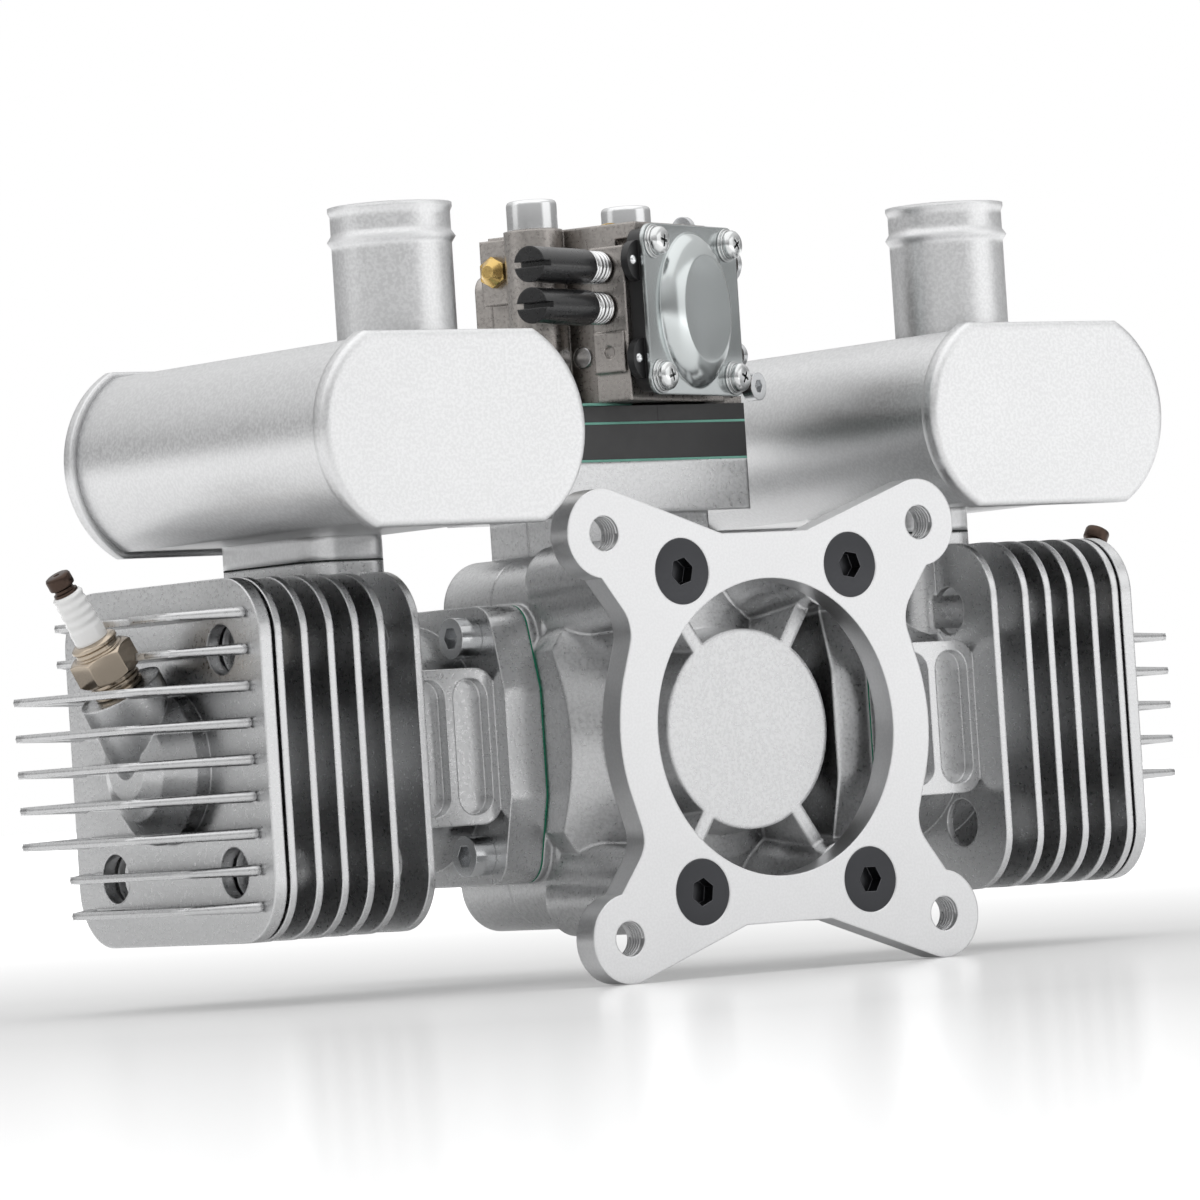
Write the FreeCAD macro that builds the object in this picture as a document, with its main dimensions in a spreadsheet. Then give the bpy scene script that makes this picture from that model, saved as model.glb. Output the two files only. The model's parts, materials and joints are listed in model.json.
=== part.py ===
"""Horizontally opposed two-cylinder two-stroke aircraft engine, as a parametric document.

The origin is the crankshaft axis at the rear face of the mount plate. +X runs along the
right cylinder, +Y runs forward to the propeller hub, +Z is up. Millimetres.
"""
import FreeCAD, Part
import math
import os
import re
import Sketcher

os.makedirs("parts", exist_ok=True)
doc = FreeCAD.newDocument("FlatTwinEngine")
sheet = doc.addObject("Spreadsheet::Sheet", "Dims")

DIMS = {
    # Mount plate
    "hole_pitch": 96, "plate_thick": 7, "plate_bore_r": 35.85, "plate_ring_r": 47,
    "lobe_r": 10.7, "flat_half": 13, "flat_z": 47, "neck_x": 41, "neck_z": 26,
    "neck_round": 9, "lobe_top_at": 69.4, "lobe_side_at": 81.8, "ring_side_at": 19.3,
    "mount_hole_r": 4.2,
    "post_x": 25.6, "post_z": 38.3, "sunk_head_r": 8, "sunk_head_deep": 4.4,
    "plate_screw_r": 4, "plate_screw_long": 26, "screw_gap": 0.1, "socket_wide": 5,
    "socket_deep": 3.2, "socket_floor": 0.45,
    # Crankshaft line, from rear to front
    "split_y": 66.5, "stagger": 34, "stroke": 36, "pin_gap": 16, "web_thick": 10.5,
    "web_r": 28.5, "chamber_r": 30, "rod_room_r": 33, "web_gap": 1, "crankpin_r": 8, "pin_end_gap": 0.3,
    "web_notch_x": 6, "web_notch_z": 14, "web_flat_x": 27, "disc_r": 24.25,
    "disc_y": 11.6, "disc_wall": 4.4, "race_lip": 3.5, "race_wall": 1.5,
    "rear_shaft_r": 8.5, "rear_race_r": 20, "rear_race_wide": 12,
    "front_shaft_r": 12.5, "front_race_r": 26, "front_race_wide": 15,
    "nose_shaft_r": 10, "nose_race_r": 21, "nose_race_wide": 12, "nose_race_y": 126,
    "race_thick": 3.6, "ball_count": 8, "ball_gap": 0.05,
    "seal_wide": 6, "seal_gap": 0.5, "nose_y": 146, "nose_r": 27,
    "fit_gap": 0.04, "over": 1, "far": 300,
    "rod_side_gap": 1, "big_end_wall": 6, "wrist_r": 6, "wrist_bore_r": 3.5,
    "small_end_wall": 3, "beam_inset": 3, "beam_half": 8, "flute_half": 3.5,
    "flute_deep": 1.5, "flute_start": 17, "flute_end": 12, "wrist_short": 3,
    "pin_boss_r": 10, "pin_boss_in": 8, "ring_drop": 3.5, "ring_high": 1.1,
    "ring_deep": 1.8, "groove_gap": 0.05,
    # Propeller hub
    "hub_gap": 1.2, "hub_boss_r": 16, "hub_boss_long": 13, "hub_r": 29, "hub_thick": 11,
    "hub_seat_r": 8.5, "hub_end_gap": 2.2, "hub_recess_r": 11, "hub_recess": 0.8,
    "prop_circle_r": 22, "prop_hole_r": 2.5, "prop_hole_count": 6,
    "hub_bolt_r": 4, "hub_bolt_long": 22, "hub_bolt_head_r": 6.5, "hub_bolt_head": 8,
    "hub_washer_r": 10, "hub_washer_thick": 2, "hub_bolt_socket": 6,
    # Crankcase
    "block_half_x": 34.5, "block_half_y": 20.5, "block_half_z": 46, "block_round": 12,
    "deck_x": 37, "deck_thick": 10.7, "post_r": 9.5, "post_long": 44, "rib_wide": 3.5,
    "boss_r": 25.2, "boss_y": 25, "step_r": 31.5, "step_y": 28.5, "bell_r": 43, "bell_y": 39,
    "column_y": 47, "column_in_x": 9, "column_in_z": 24, "column_round": 7,
    "nose_barrel_r": 34, "nose_barrel_y": 121, "front_bell_y": 100, "front_bell_long": 12,
    "gusset_thick": 5, "gusset_count": 4,
    "case_bolt_r": 2.5, "case_bolt_pitch": 41, "case_bolt_z": 40.5,
    "case_bolt_end": 6, "case_bolt_gap": 2, "case_bolt_head_r": 4.25,
    "case_bolt_head": 5, "case_bolt_socket": 4, "head_room": 1, "liner_room": 3,
    "intake_half_x": 30.4, "intake_half_y": 22.5, "intake_z": 67.6, "intake_thick": 12.6,
    "throat_half_x": 22, "throat_half_y": 16, "port_half_x": 15, "port_half_y": 12,
    "port_back": 3,
    # Cylinders
    "rod_long": 74, "cyl_bore_r": 23, "crown_high": 22, "piston_long": 40,
    "piston_gap": 0.06, "crown_thick": 6, "piston_wall": 5, "squish": 0.5,
    "chamber_deep": 10,
    "chamber_top_r": 10, "spigot_r": 26, "spigot_long": 3.5, "gasket_thick": 0.5,
    "flange_thick": 10.5, "base_screw_y": 26.3, "base_screw_z": 26.5,
    "base_lobe": 7.5, "flange_bulge": 39, "flange_flat": 13, "flange_round": 7,
    "neck_r": 30.5, "fin_half": 43.3, "fin_round": 14.5, "fin_thick": 1.9,
    "first_fin": 74.7, "second_fin": 84.9, "fin_pitch": 7.36, "fin_count": 5,
    "head_plate_thick": 3.3, "head_x": 120.6, "access_r": 6,
    "head_fin_thick": 1.8, "head_fin_pitch": 8.7, "long_fin_tip": 147.3,
    "short_fin_tip": 134.5, "fin_root_half": 37.5, "fin_tip_half": 25,
    "dome_r": 19, "dome_top_r": 13, "dome_high": 12, "boss_wall": 2.5, "boss_drop": 20,
    "plug_room": 0.1, "plug_clear": 60, "neck_foot_z": 10, "port_foot_z": 15,
    "head_fin_side": 4, "long_fin_side": 2, "head_space": 12,
    "base_screw_r": 3, "base_head_r": 5, "base_head": 6, "base_screw_long": 20,
    "base_socket": 5, "transfer_wide": 14, "transfer_in_y": 20, "transfer_out_y": 27,
    "transfer_past": 4, "bulge_y": 34.5, "bulge_half_z": 19, "bulge_round": 6,
    "recess_wide": 10, "recess_half_z": 16.5, "recess_round": 4.6, "recess_deep": 3,
    "recess_step": 6.2, "dome_shoulder": 0.8, "dome_flat": 0.6,
    # Exhaust neck and muffler
    "neck_in_x": 66, "neck_out_x": 90, "neck_half_y": 22, "neck_top_z": 46.5,
    "neck_corner": 7, "port_out_half": 13, "port_in_x": 79, "port_out_x": 88,
    "exhaust_gasket_thick": 0.5,
    "muffler_x": 90.3, "muffler_z": 74, "muffler_rear": 30, "muffler_front": 5.9,
    "muffler_half_x": 37.5, "muffler_half_z": 22.8, "muffler_flat": 24,
    "muffler_wall": 1.4, "lip_proud": 1.5, "cap_deep": 4.5, "cap_thick": 1.6,
    "cap_round": 1.3,
    "outlet_x": 85, "outlet_y": 27, "outlet_top_z": 128.7, "outlet_r": 14.3,
    "outlet_wall": 1.3, "bead_r": 15.3, "bead_drop": 8, "bead_high": 3, "rim_r": 14.8,
    "rim_high": 2,
    # Spark plug
    "plug_x": 132.8, "plug_z": 18.8, "plug_tilt": 29.5, "plug_thread_r": 5,
    "plug_reach": 12.7, "plug_seat_r": 8, "plug_washer": 1.6, "plug_hex": 14,
    "plug_hex_long": 7, "plug_collar_r": 5.4, "plug_collar_long": 2.5, "plug_crimp": 3,
    "crimp_r": 6, "crimp_wall": 0.8, "plug_core_wall": 1, "plug_foot": 1, 
    "plug_inside": 4, "ceramic_r": 3.8, "ceramic_long": 13, "ceramic_bore_r": 1.5,
    "ceramic_plain": 4, "ceramic_wave": 1.8, "ceramic_dip": 0.35, "ceramic_thin": 0.25,
    "ceramic_waves": 4, "terminal_r": 3.2, "terminal_long": 5,
    # Intake stack
    "sheet_thick": 0.6, "reed_thick": 8.6, "spacer_thick": 4, "reed_petal_thick": 0.4,
    "petal_gap": 0.5, "petal_drop": 1, "carb_foot_round": 4,
    "carb_turn": 20, "throat_r": 11, "throat_y": 9,
    # Carburettor, about its throat axis with x across the two cap bolts
    "carb_high": 44, "carb_half_x": 16, "carb_front": 26.5, "carb_back": 17,
    "block_left": 22, "block_right": 20, "block_deep": 10, "block_high": 38,
    "lug_proud": 1.2, "lug_low": 7, "lug_high": 17, "lug_in": 0.6, "lug_dimple_r": 1.5,
    "lug_dimple": 0.8, "plug_block_x": 20, "plug_block_y": 7.5, "plug_block_low": 27,
    "plug_block_high": 43, "valve_boss_r": 5.5, "valve_boss_gap": 1,
    "carb_bolt_x": 21.2, "carb_bolt_r": 3, "carb_boss_r": 7.3, "carb_head_r": 6.25,
    "carb_head_high": 7.5, "carb_socket": 5, "stack_thick": 4.5, "cover_half": 21, "cover_thick": 1,
    "cover_dome_x": 15, "cover_dome_z": 19.3, "cover_dome_high": 6.5, "cover_flat": 4.2,
    "cover_round": 4, "stack_in": 1, "lobe_disc_r": 5, "lobe_x": 20, "lobe_z": 12, "lobe_thick": 2,
    "cross_half": 1.8, "cross_thin": 0.4, "cross_deep": 1.2, "cover_grip": 5,
    "cover_screw_pitch": 33, "cover_screw_r": 1.8, "cover_head_r": 3.6,
    "cover_head_high": 2.6, "cover_washer_r": 4.2, "cover_washer_thick": 0.8,
    "throttle_z": 12, "choke_z": 35, "valve_shaft_r": 2.5, "valve_thick": 1,
    "valve_gap": 0.1, "lever_x": 30, "lever_thick": 1.6, "lever_r": 4.5,
    "wire_hole_r": 1.2, "shaft_back": 16.3, "shaft_past": 2,
    "throttle_arm": 14.5, "throttle_eye_r": 3.5, "choke_arm": 13, "choke_eye_r": 5,
    "choke_tail": 10.5, "choke_tail_r": 3,
    "needle_y": 19.7, "low_needle_z": 23, "high_needle_z": 33, "needle_r": 2,
    "needle_knob_r": 4.4, "needle_knob_long": 23, "needle_spring_long": 8,
    "needle_in": 9, "needle_slot": 1.4, "needle_slot_deep": 3,
    "spring_wire_r": 0.5, "spring_coil_r": 3.6, "spring_turns": 4, "spring_steps": 12,
    "spring_wire_sides": 6, "spring_gap": 0.4,
    "fitting_y": 12.5, "fitting_z": 35, "fitting_r": 3.4, "fitting_long": 4,
    "fitting_thread_r": 2.2, "fitting_thread_long": 7,
    "idle_r": 2, "idle_long": 14, "idle_x": 31, "idle_z": 3.8, "idle_head_r": 3.5,
    "idle_head": 3, "idle_socket": 3, "idle_free": 4, "idle_lug_in": 1, "idle_lug_out": 2,
    "idle_lug_back": 7,
    "pump_half_x": 16, "pump_half_z": 15, "pump_thick": 5, "pump_drop": 2, "pump_round": 4,
    "nipple_x": 9, "nipple_drop": 10, "nipple_r": 2.6, "nipple_bore_r": 1.4,
    "nipple_long": 14, "nipple_collar": 1, "nipple_foot": 1.5, "barb_long": 4,
    "barb_proud": 0.6, "barb_tip": 0.4,
}

for row, (alias, value) in enumerate(DIMS.items(), start=1):
    sheet.set(f"A{row}", alias)
    sheet.set(f"B{row}", str(value))
    sheet.setAlias(f"B{row}", alias)
doc.recompute()

# Turns that carry a piece's own z axis onto an engine axis
TURNS = {
    "z": FreeCAD.Rotation(),
    "-z": FreeCAD.Rotation(FreeCAD.Vector(1, 0, 0), 180),
    "x": FreeCAD.Rotation(FreeCAD.Vector(1, 1, 1), 120),
    "-x": FreeCAD.Rotation(FreeCAD.Vector(0, 1, 0), -90),
    "y": FreeCAD.Rotation(FreeCAD.Vector(1, 0, 0), -90),
    "-y": FreeCAD.Rotation(FreeCAD.Vector(1, 0, 0), 90),
}
ORIGIN = ("0", "0", "0")
SIDES = {"left": -1, "right": 1}
nodes = []


def in_sheet(formula):
    """Point each size named in a formula at the spreadsheet."""
    def named(word):
        return "Dims." + word.group(0) if word.group(0) in DIMS else word.group(0)
    return re.sub(r"[a-z][a-z0-9_]*", named, str(formula))


def value_of(formula):
    """The present value of a formula over the sheet's sizes."""
    return float(sheet.evalExpression(str(formula)))


def bind(obj, **formulas):
    """Bind properties to the sheet. Two underscores stand for a dot."""
    for name, formula in formulas.items():
        obj.setExpression(name.replace("__", "."), in_sheet(formula))
    return obj


def place(obj, at=ORIGIN, axis="z"):
    obj.Placement = FreeCAD.Placement(FreeCAD.Vector(), TURNS[axis])
    return bind(obj, Placement__Base__x=at[0], Placement__Base__y=at[1],
                Placement__Base__z=at[2])


def rod(name, radius, length, at=ORIGIN, axis="z"):
    obj = doc.addObject("Part::Cylinder", name)
    return place(bind(obj, Radius=radius, Height=length), at, axis)


def cone(name, radius, end_radius, length, at=ORIGIN, axis="z"):
    obj = doc.addObject("Part::Cone", name)
    return place(bind(obj, Radius1=radius, Radius2=end_radius, Height=length), at, axis)


def box(name, low, high):
    """A box between two corners along the engine's axes."""
    obj = doc.addObject("Part::Box", name)
    sizes = [f"({b})-({a})" for a, b in zip(low, high)]
    return place(bind(obj, Length=sizes[0], Width=sizes[1], Height=sizes[2]), low)


def column(name, near_y, far_y, near, far):
    """A tapered block along y between two upright rectangles (x low, x high, z low, z high)."""
    obj = doc.addObject("Part::Wedge", name)
    return bind(obj, Ymin=near_y, Ymax=far_y, Xmin=near[0], Xmax=near[1], Zmin=near[2],
                Zmax=near[3], X2min=far[0], X2max=far[1], Z2min=far[2], Z2max=far[3])


def hexagon(name, across_flats, length, at=ORIGIN, axis="z"):
    obj = doc.addObject("Part::Prism", name)
    obj.Polygon = 6
    corner = f"({across_flats})/sqrt(3)"
    return place(bind(obj, Circumradius=corner, Height=length), at, axis)


def joined(name, pieces):
    obj = doc.addObject("Part::MultiFuse", name)
    obj.Shapes = pieces
    obj.Refine = True
    return obj


def cut(name, base, tools):
    obj = doc.addObject("Part::Cut", name)
    obj.Base = base
    obj.Tool = tools[0] if len(tools) == 1 else joined(name + "_tools", tools)
    obj.Refine = True
    return obj


def overlap(name, pieces):
    obj = doc.addObject("Part::MultiCommon", name)
    obj.Shapes = pieces
    return obj


def origin_plane(body, role):
    return next(f for f in body.Origin.OriginFeatures if f.Role == role)


def closed_sketch(body, name, role, points, lift="0"):
    """A closed outline whose corners are dimensioned from the origin by the sheet."""
    sketch = body.newObject("Sketcher::SketchObject", name)
    sketch.AttachmentSupport = [(origin_plane(body, role), "")]
    sketch.MapMode = "FlatFace"
    bind(sketch, AttachmentOffset__Base__z=lift)
    corners = [FreeCAD.Vector(value_of(x), value_of(y), 0) for x, y in points]
    count = len(corners)
    for i in range(count):
        sketch.addGeometry(Part.LineSegment(corners[i], corners[(i + 1) % count]))
    for i in range(count):
        sketch.addConstraint(Sketcher.Constraint("Coincident", i, 2, (i + 1) % count, 1))
    for i, point in enumerate(points):
        for kind, formula in zip(("DistanceX", "DistanceY"), point):
            rule = Sketcher.Constraint(kind, -1, 1, i, 1, value_of(formula))
            index = sketch.addConstraint(rule)
            sketch.setExpression(f"Constraints[{index}]", in_sheet(formula))
    return sketch


def turned(name, profile, at=ORIGIN, axis="z"):
    """A body turned about its own z from (radius, height) pairs."""
    body = doc.addObject("PartDesign::Body", name)
    sketch = closed_sketch(body, name + "_profile", "XZ_Plane", profile)
    turn = body.newObject("PartDesign::Revolution", name + "_turn")
    turn.Profile = sketch
    turn.ReferenceAxis = (sketch, ["V_Axis"])
    turn.Angle = 360
    sketch.Visibility = False
    return place(body, at, axis)


def prism(name, points, length, at=ORIGIN, axis="z", corner=None):
    """A body padded along its own z, its upright edges rounded where a radius is given."""
    body = doc.addObject("PartDesign::Body", name)
    sketch = closed_sketch(body, name + "_outline", "XY_Plane", points)
    pad = body.newObject("PartDesign::Pad", name + "_pad")
    pad.Profile = sketch
    bind(pad, Length=length)
    if corner:
        doc.recompute()
        edges = pad.Shape.Edges
        upright = [f"Edge{i + 1}" for i, e in enumerate(edges) if is_upright(e)]
        rounding = body.newObject("PartDesign::Fillet", name + "_corners")
        rounding.Base = (pad, upright)
        bind(rounding, Radius=corner)
        body.Tip = rounding
    return place(body, at, axis)


def is_upright(edge):
    if not isinstance(edge.Curve, Part.Line):
        return False
    return abs(edge.tangentAt(edge.FirstParameter).z) > 0.999


def rounded(name, base, radius, wanted):
    """Round the edges of a shape that the test picks."""
    doc.recompute()
    obj = doc.addObject("Part::Fillet", name)
    obj.Base = base
    size = value_of(radius)
    picks = [i + 1 for i, e in enumerate(base.Shape.Edges) if wanted(e)]
    obj.Edges = [(i, size, size) for i in picks]
    return obj


def rectangle(half_x, half_y):
    return [(f"-({half_x})", f"-({half_y})"), (half_x, f"-({half_y})"),
            (half_x, half_y), (f"-({half_x})", half_y)]


def ring(name, outer, inner, length, at=ORIGIN, axis="z"):
    return turned(name, [(inner, "0"), (outer, "0"), (outer, length), (inner, length)],
                  at, axis)


def group(name, pieces):
    obj = doc.addObject("Part::Compound", name)
    obj.Links = pieces
    return obj


def node(obj, label):
    obj.Label = label
    nodes.append(obj)
    return obj


def set_in(obj, base, turn):
    """Set a finished piece into a frame that is turned about z."""
    angle = value_of(turn)
    obj.Placement = FreeCAD.Placement(
        FreeCAD.Vector(), FreeCAD.Rotation(FreeCAD.Vector(0, 0, 1), angle))
    bind(obj, Placement__Base__x=base[0], Placement__Base__y=base[1],
         Placement__Base__z=base[2])
    if angle not in (0, 180):
        bind(obj, Placement__Rotation__Angle=turn)
    return obj


def cylinder_y(side):
    return "split_y+stagger/2" if side == "left" else "split_y-stagger/2"


def on_cylinder(obj, side):
    """Cylinder pieces are drawn along +x from the crank axis, then turned to their side."""
    return set_in(obj, ("0", cylinder_y(side), "0"), "180" if side == "left" else "0")


def socket_screw(name, head_r, head_long, shank_r, shank_long, socket, at, axis):
    """A cap screw seated at its own origin, its head along its own z."""
    head = rod(name + "_head", head_r, head_long)
    shank = rod(name + "_shank", shank_r, shank_long, ("0", "0", f"-({shank_long})"))
    hole = hexagon(name + "_socket", socket, f"({head_long})*(1-socket_floor)+over",
                   ("0", "0", f"({head_long})*socket_floor"))
    return place(cut(name, joined(name + "_blank", [head, shank]), [hole]), at, axis)


def on_circle(radius, count, total):
    angle = 2 * math.pi * count / total
    return radius * math.cos(angle), radius * math.sin(angle)


def coil(name, coil_r, wire_r, turns, length, at, axis):
    """A spring bent in short straight steps from a wire of flat sides."""
    wire = value_of(wire_r)
    steps = int(value_of("spring_steps"))
    sides = int(value_of("spring_wire_sides"))
    pitch = (value_of(length) - 2 * wire) / value_of(turns)
    path = []
    for i in range(int(value_of(turns) * steps) + 1):
        x, y = on_circle(value_of(coil_r), i, steps)
        path.append(FreeCAD.Vector(x, y, wire + pitch * i / steps))
    corners = []
    for i in range(sides + 1):
        out, up = on_circle(wire, i, sides)
        corners.append(path[0] + FreeCAD.Vector(out, 0, up))
    spring = doc.addObject("Part::Feature", name)
    mitred = 1
    section = Part.makePolygon(corners)
    spring.Shape = Part.makePolygon(path).makePipeShell([section], True, True, mitred)
    return place(spring, at, axis)


FOUR = [(sx, sz) for sx in (-1, 1) for sz in (-1, 1)]


# Mount plate and its screws
def mount_plate():
    hole = "hole_pitch/2"
    quarter = [("flat_half", "flat_z"),
               (f"{hole}-lobe_r*cos(lobe_top_at)", f"{hole}+lobe_r*sin(lobe_top_at)"),
               (hole, hole),
               (f"{hole}+lobe_r*cos(lobe_side_at)", f"{hole}-lobe_r*sin(lobe_side_at)"),
               ("neck_x", "neck_z"),
               ("plate_ring_r*cos(ring_side_at)", "plate_ring_r*sin(ring_side_at)")]
    def flipped(points, sx, sz):
        return [(f"{sx}*({x})", f"{sz}*({z})") for x, z in points]
    outline = (flipped(quarter, 1, 1) + flipped(quarter[::-1], 1, -1)
               + flipped(quarter, -1, -1) + flipped(quarter[::-1], -1, 1))
    web = prism("plate_web", outline, "plate_thick", ("0", "plate_thick", "0"), "-y")
    ring_disc = rod("plate_ring", "plate_ring_r", "plate_thick", axis="y")
    lobes = [rod("plate_lobe", "lobe_r", "plate_thick",
                 (f"{sx}*{hole}", "0", f"{sz}*{hole}"), "y") for sx, sz in FOUR]
    blank = joined("plate_blank", [web, ring_disc] + lobes)
    def at_neck(edge):
        middle = edge.CenterOfMass
        aside = abs(abs(middle.x) - value_of("neck_x")) < 0.5
        along = abs(abs(middle.z) - value_of("neck_z")) < 0.5
        return aside and along and isinstance(edge.Curve, Part.Line)
    blank = rounded("plate_necks", blank, "neck_round", at_neck)
    tools = [rod("plate_bore", "plate_bore_r", "plate_thick+2*over", ("0", "-over", "0"),
                 "y")]
    for sx, sz in FOUR:
        at = (f"{sx}*{hole}", "-over", f"{sz}*{hole}")
        tools.append(rod("mount_hole", "mount_hole_r", "plate_thick+2*over", at, "y"))
        seat = (f"{sx}*post_x", "0", f"{sz}*post_z")
        tools.append(rod("screw_hole", "plate_screw_r+screw_gap", "plate_thick", seat, "y"))
        tools.append(cone("screw_seat", "sunk_head_r+screw_gap", "plate_screw_r+screw_gap",
                          "sunk_head_deep", seat, "y"))
    node(cut("mount_plate", blank, tools), "mount_plate")


def plate_screws():
    screws = []
    for sx, sz in FOUR:
        seat = (f"{sx}*post_x", "0", f"{sz}*post_z")
        head = cone("sunk_head", "sunk_head_r", "plate_screw_r", "sunk_head_deep", seat, "y")
        shank = rod("sunk_shank", "plate_screw_r", "plate_screw_long", seat, "y")
        socket = hexagon("sunk_socket", "socket_wide", "socket_deep", seat, "y")
        blank = joined("sunk_blank", [head, shank])
        screws.append(cut("sunk_screw", blank, [socket]))
    node(group("plate_screws", screws), "plate_screws")


# Crankcase halves
def chamber_start():
    return "split_y-stagger/2-pin_gap/2-web_thick-web_gap"


def chamber_end():
    return "split_y+stagger/2+pin_gap/2+web_thick+web_gap"


def flange_outline(extra="0"):
    side = f"base_screw_y+base_lobe+({extra})"
    top = f"base_screw_z+base_lobe+({extra})"
    bulge = f"flange_bulge+({extra})"
    return [(side, top), (bulge, "flange_flat"), (bulge, "-flange_flat"),
            (side, f"-({top})"), (f"-({side})", f"-({top})"), (f"-({bulge})", "-flange_flat"),
            (f"-({bulge})", "flange_flat"), (f"-({side})", top)]


def case_block(tag):
    """The common outside of the two halves: crank block, cylinder decks and intake."""
    block = prism(tag + "_block", rectangle("block_half_x", "block_half_z"), "2*block_half_y",
                  ("0", "split_y+block_half_y", "0"), "-y", corner="block_round")
    barrel = rod(tag + "_barrel", "bell_r", "front_bell_y-bell_y", ("0", "bell_y", "0"), "y")
    pieces = [block, barrel]
    for side, sign in SIDES.items():
        start = "deck_x-deck_thick" if sign > 0 else "-deck_x"
        deck = prism(f"{tag}_deck_{side}", flange_outline(), "deck_thick",
                     (start, cylinder_y(side), "0"), "x", corner="flange_round")
        pieces.append(deck)
    pieces.append(box(tag + "_intake", ("-intake_half_x", "split_y-intake_half_y",
                                        "intake_z-intake_thick"),
                      ("intake_half_x", "split_y+intake_half_y", "intake_z")))
    pieces.append(box(tag + "_intake_neck", ("-throat_half_x", "split_y-throat_half_y",
                                             "bell_r-over"),
                      ("throat_half_x", "split_y+throat_half_y", "intake_z-intake_thick")))
    return pieces


def case_hollows(tag):
    """The crank chamber, the liner holes, the intake passage and the bolt holes."""
    start = chamber_start()
    tools = [rod(tag + "_chamber", "chamber_r", f"({chamber_end()})-({start})",
                 ("0", start, "0"), "y"),
             rod(tag + "_rod_room", "rod_room_r", "stagger+pin_gap",
                 ("0", "split_y-(stagger+pin_gap)/2", "0"), "y")]
    thread = "base_screw_long-flange_thick-gasket_thick+over"
    for side, sign in SIDES.items():
        depth = "spigot_long+gasket_thick+liner_room"
        at = (f"deck_x-({depth})" if sign > 0 else "-deck_x-over", cylinder_y(side), "0")
        tools.append(rod(f"{tag}_liner_{side}", "spigot_r+screw_gap", f"{depth}+over", at,
                         "x"))
        for sy, sz in FOUR:
            hole_x = f"deck_x-({thread})" if sign > 0 else "-deck_x-over"
            hole = (hole_x, f"{cylinder_y(side)}+({sy})*base_screw_y", f"({sz})*base_screw_z")
            tools.append(rod(f"{tag}_stud_{side}", "base_screw_r", f"{thread}+over", hole,
                             "x"))
    tools.append(box(tag + "_passage", ("-port_half_x", "split_y-port_back-port_half_y", "0"),
                     ("port_half_x", "split_y-port_back+port_half_y", "intake_z+over")))
    for x, z in case_bolt_places():
        tools.append(rod(tag + "_bolt_hole", "case_bolt_r", "2*block_half_y-case_bolt_end",
                         (x, "split_y-block_half_y+case_bolt_end", z), "y"))
    return tools


def case_bolt_places():
    """Long screws that clamp the halves, outside the chamber above and below."""
    return [(f"({sx})*case_bolt_pitch/2", f"({sz})*case_bolt_z") for sx, sz in FOUR]


def crankcase_rear():
    pieces = case_block("rear")
    pieces.append(turned("rear_boss", [
        ("0", "disc_y"), ("disc_r", "disc_y"), ("boss_r", "boss_y"), ("step_r", "step_y"),
        ("bell_r", "bell_y"), ("0", "bell_y")], axis="y"))
    for sx, sz in FOUR:
        post = (f"({sx})*post_x", "plate_thick", f"({sz})*post_z")
        pieces.append(rod("rear_post", "post_r", "post_long", post, "y"))
        pieces.append(post_column(sx, sz))
        rib = box("rear_rib", ("disc_r-rib_wide", "disc_y", "-rib_wide/2"),
                  ("sqrt(post_x^2+post_z^2)", "bell_y", "rib_wide/2"))
        angle = f"-({sz})*atan2(post_z; ({sx})*post_x)"
        pieces.append(turned_about_y(rib, angle))
    blank = joined("rear_blank", pieces)
    behind = box("rear_side", ("-deck_x", "-over", "-far"), ("deck_x", "split_y", "far"))
    half = overlap("rear_half", [blank, behind])
    tools = case_hollows("rear")
    seat_y = "disc_y+disc_wall"
    tools.append(rod("rear_race_seat", "rear_race_r", "rear_race_wide", ("0", seat_y, "0"),
                     "y"))
    start = chamber_start()
    tools.append(rod("rear_race_step", "rear_race_r-race_lip", f"{start}-({seat_y})+over",
                     ("0", seat_y, "0"), "y"))
    for sx, sz in FOUR:
        hole = (f"({sx})*post_x", "plate_thick-over", f"({sz})*post_z")
        tools.append(rod("post_thread", "plate_screw_r",
                         "plate_screw_long-plate_thick+3*over", hole, "y"))
    node(cut("crankcase_rear", half, tools), "crankcase_rear")


def post_column(sx, sz):
    """The casting that swells from a post at the plate into a corner of the block."""
    def side(sign, low, high):
        return (low, high) if sign > 0 else (f"-({high})", f"-({low})")
    near = (side(sx, "post_x-post_r", "post_x+post_r")
            + side(sz, "post_z-post_r", "post_z+post_r"))
    far = side(sx, "column_in_x", "block_half_x") + side(sz, "column_in_z", "block_half_z")
    blank = column("column_blank", "plate_thick", "column_y", near, far)
    def lengthwise(edge):
        return abs(edge.tangentAt(edge.FirstParameter).y) > 0.7
    return rounded("rear_column", blank, "column_round", lengthwise)


def turned_about_y(piece, angle):
    """Swing a piece that is drawn on the x axis round the crank axis."""
    carrier = doc.addObject("Part::Compound", piece.Name + "_swung")
    carrier.Links = [piece]
    turn = value_of(angle)
    carrier.Placement = FreeCAD.Placement(
        FreeCAD.Vector(), FreeCAD.Rotation(FreeCAD.Vector(0, 1, 0), turn))
    bind(carrier, Placement__Rotation__Angle=angle)
    return carrier


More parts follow.
